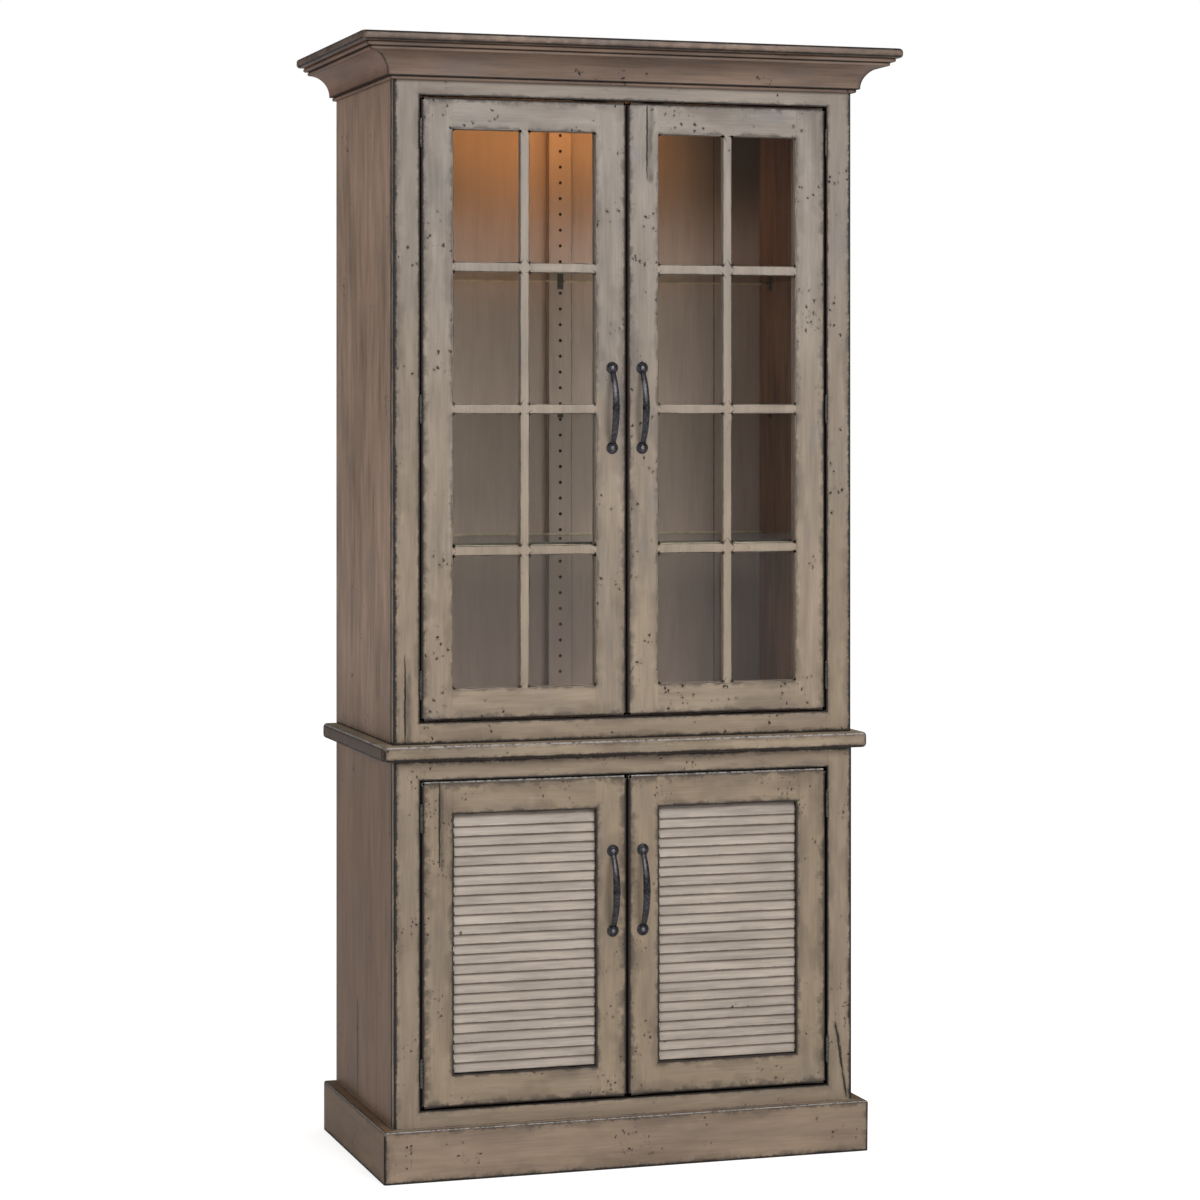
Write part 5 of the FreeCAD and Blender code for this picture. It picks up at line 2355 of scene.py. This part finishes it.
@dataclass
class Inside:
    """What shows behind the doors: centre stile, shelves, clips, catches and the small lamp."""

    layout: Layout
    finishes: Finishes
    stile_ease: float = 0.8 * MM
    stile_seed: float = 61.0
    hole_radius: float = 3.3 * MM
    hole_depth: float = 12.0 * MM
    hole_pitch: float = 32.0 * MM
    hole_shade: float = 6.0
    first_hole: float = 53.0 * MM
    top_margin: float = 25.0 * MM
    lens_radius: float = 27.0 * MM
    lip: float = 2.0 * MM
    glow_power: float = 0.42
    glow: str = "ffba6c"
    glow_size: tuple[float, float] = (0.46, 0.04)
    glow_shift: tuple[float, float, float] = (-0.06, 0.07, -0.008)
    glow_aim: tuple[float, float, float] = (-0.1, 0.8, -0.6)
    edge_strip: float = 0.5 * MM
    edge_ease: float = 0.1 * MM
    edge_inset: float = 2.0 * MM

    def build(self) -> None:
        """Build and dress everything inside."""
        self._centre_stile()
        self._shelves()
        self._lamp()
        self._small_metal()

    def _centre_stile(self) -> None:
        """The upright with its row of shelf holes."""
        node = "back_centre_stile"
        low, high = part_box(node)
        opening = self.layout.opening("upper")
        piece = box_piece(node + "_board", low, high)
        bevel(piece, every_edge, self.stile_ease, 2)
        first = opening[0].z + self.first_hole
        count = int((opening[1].z - self.top_margin - first) / self.hole_pitch) + 1
        add = bpy.ops.mesh.primitive_cylinder_add
        size = {"vertices": 14, "radius": self.hole_radius, "depth": 2 * self.hole_depth}
        place = Vector((0, low.y, first))
        drill = primitive(add, "drill", location=place, rotation=(UPRIGHT, 0, 0), **size)
        drills = [copy_of(drill, Vector((0, 0, self.hole_pitch * number))) for number in range(1, count)]
        carve(piece, join("drills", [drill] + drills))
        # The holes' walls are marked for painted shade.
        reach = 1.5 * self.hole_radius
        in_hole = lambda p: abs(p.x) < reach and low.y + 2 * MM < p.y < high.y - 2 * MM
        Marks(Axis.Z, self.stile_seed, groove=lambda p: self.hole_shade * in_hole(p)).write(piece)
        dress(piece, self.finishes["Inside paint"], "inside_paint", "root", node)

    def _shelves(self) -> None:
        """Sheet glass shelves, with light strips at their edges as painted highlights."""
        shelves = bpy.data.objects["glass_shelves"]
        coat(shelves, self.finishes["Shelf glass"])
        low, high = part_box("glass_shelves")
        levels = sorted({round(vertex.co.z, 5) for vertex in shelves.data.vertices})
        wide = self.edge_strip
        front, back = low.y - wide, high.y - 1.5 * wide
        left, right = low.x + self.edge_inset, high.x - self.edge_inset
        strips = []
        # Light strips along each shelf's front edge and above and below its back edge: painted highlights of
        # the glass edges.
        for under, top in zip(levels[::2], levels[1::2]):
            rims = [(front, under + wide, under + 0.45 * (top - under))]
            rims += [(back, under - 4 * wide, under), (back, top, top + 4 * wide)]
            for y, z_low, z_high in rims:
                strips.append(box_piece("edge", Vector((left, y, z_low)), Vector((right, y + wide, z_high))))
                bevel(strips[-1], every_edge, self.edge_ease, 1)
        dress(join("shelf_edges", strips), self.finishes["Shelf edge"], "shelf_glass", "root")

    def _lamp(self) -> None:
        """The small lamp under the ceiling: a rounded metal ring, its lens and its glow."""
        low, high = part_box("puck_light_body")
        lens_low, lens_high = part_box("puck_light_lens")
        centre = Vector(((low.x + high.x) / 2, (low.y + high.y) / 2, low.z))
        radius, tall = (high.x - low.x) / 2, high.z - low.z
        inner, lip, seat = self.lens_radius, self.lip, lens_high.z - low.z + 0.1 * MM
        ring = [(inner, 1.0 * MM), (inner + 0.6 * MM, 0.0), (radius - lip, 0.0)]
        ring += [(radius - lip + lip * math.sin(a), lip - lip * math.cos(a)) for a in (0.4, 0.8, 1.2, 1.57)]
        ring += [(radius, tall), (0.0, tall), (0.0, seat), (inner, seat), (inner, 1.0 * MM)]
        body = turned_piece("puck_light_body_ring", ring, centre, Axis.Z, 48)
        dress(body, self.finishes["Light metal"], "light_metal", "root", "puck_light_body")
        reach, z_low, z_high = inner - 0.2 * MM, lens_low.z - low.z, lens_high.z - low.z
        disc = [(0.0, z_high), (reach, z_high), (reach, z_low + 0.8 * MM)]
        disc += [(reach - 1.5 * MM, z_low + 0.3 * MM), (reach * 0.6, z_low), (0.0, z_low)]
        lens = turned_piece("puck_light_lens_disc", disc, centre, Axis.Z, 48)
        dress(lens, self.finishes["Light lens"], "light_lens", "root", "puck_light_lens")
        place, aim = centre + Vector(self.glow_shift), Vector(self.glow_aim)
        glow = area_lamp("Glow", place, aim, self.glow_power, rgb(self.glow))
        glow.data.shape = "RECTANGLE"
        glow.data.size, glow.data.size_y = self.glow_size
        glow.visible_camera = False

    def _small_metal(self) -> None:
        """Clips, strikes and catches, as the frame gives them."""
        strikes = [f"{level}_door_{side.word}_strike" for level in ("upper", "lower") for side in Side]
        for name in ["shelf_clips"] + strikes:
            coat(bpy.data.objects[name], self.finishes["Plated steel"])
        coat(bpy.data.objects["door_catches"], self.finishes["Catch plastic"])


@dataclass
class Stage:
    """Pale floor, soft lamps and the camera."""

    camera_place: tuple[float, float, float] = (-1.94224, -6.15529, 1.43752)
    camera_turn: float = math.radians(-17.58)
    lens: float = 98.78
    sensor: float = 36.0
    shift_up: float = -0.1590
    view_end: float = 100.0
    aim_height: float = 1.05
    lamp_size: float = 2.4
    room_light: float = 0.45
    room_gloss: float = 0.09
    floor_size: float = 60.0
    floor_drop: float = 0.5 * MM
    floor_shade: float = 0.82
    floor_rough: float = 0.9
    floor_glow: float = 0.68

    def build(self) -> None:
        """Set up the view, the lamps, the world and the floor."""
        self._camera()
        self._lamp("Key", (1.0, -4.4, 4.25), 128.0, (1.0, 0.985, 0.965))
        self._lamp("Fill", (-3.6, -3.4, 2.2), 23.0, (1.0, 0.975, 0.94))
        self._world()
        self._floor()

    def _camera(self) -> None:
        """A standing person's point of view: upright, turned a little, shifted down."""
        turn = (UPRIGHT, 0, self.camera_turn)
        bpy.ops.object.camera_add(location=self.camera_place, rotation=turn)
        camera = bpy.context.object
        camera.data.lens = self.lens
        camera.data.sensor_width = self.sensor
        camera.data.shift_y = self.shift_up
        camera.data.clip_end = self.view_end
        bpy.context.scene.camera = camera

    def _lamp(self, name: str, place: tuple[float, float, float], power: float, colour: Colour) -> None:
        """A square soft lamp aimed at the middle of the cabinet."""
        aim = Vector((0, 0, self.aim_height)) - Vector(place)
        area_lamp(name, Vector(place), aim, power, colour).data.size = self.lamp_size

    def _seen(self, g: Graph) -> tuple[bpy.types.NodeOutputs, Socket]:
        """Tell rays that should see the plain background.

        Args:
            g: the graph to work in.

        Returns:
            The ray's path, and one where it comes straight or through clear glass.
        """
        path = g.node("ShaderNodeLightPath").outputs
        straight = g.below(path["Glossy Depth"], 0.5)
        return path, g.most(path["Is Camera Ray"], g.times(path["Is Transmission Ray"], straight))

    def _world(self) -> None:
        """Even pale light, shown as white."""
        world = bpy.data.worlds.new("Studio")
        bpy.context.scene.world = world
        world.use_nodes = True
        g = Graph(world.node_tree)
        path, seen = self._seen(g)
        plain = g.span(path["Is Glossy Ray"], 0.0, 1.0, self.room_light, self.room_gloss, shape="LINEAR")
        background = world.node_tree.nodes["Background"]
        g.fill(background, Color=(1, 1, 1, 1), Strength=g.most(plain, seen))

    def _floor(self) -> None:
        """A pale floor that keeps the cabinet's shadow and reads as white."""
        bpy.ops.mesh.primitive_plane_add(size=self.floor_size, location=(0, 0, -self.floor_drop))
        floor = bpy.context.object
        floor.name = "Floor"
        material, g, shader = new_material("Pale floor")
        shade = (self.floor_shade,) * 3 + (1,)
        glow = g.times(self._seen(g)[1], self.floor_glow)
        g.fill(shader, Base_Color=shade, Roughness=self.floor_rough)
        g.fill(shader, Emission_Color=(1, 1, 1, 1), Emission_Strength=glow)
        coat(floor, material)


def main() -> None:
    """Build and dress the cabinet, then set up the stage."""
    logging.basicConfig(level=logging.INFO, format="%(name)s: %(message)s")
    bpy.context.scene.view_settings.view_transform = "Standard"
    layout = Layout.read()
    finishes = Finishes()
    for level, seed in (("lower", 0.0), ("upper", 11.0)):
        Case(level, layout, finishes, seed).build()
    Slab("waist_slab", "Slab paint", finishes, 7.5 * MM, seed=15.0).build()
    Slab("cap_board", "Moulding paint", finishes, 7.0 * MM, seed=17.0).build()
    Crown(layout, finishes).build()
    Plinth(layout, finishes).build()
    for side in Side:
        for door in (GlazedDoor(side, finishes), LouvredDoor(side, finishes)):
            door.build()
            Pull(door, finishes).build()
    Hinges(layout, finishes).build()
    Inside(layout, finishes).build()
    Stage().build()


if __name__ == "__main__":
    main()
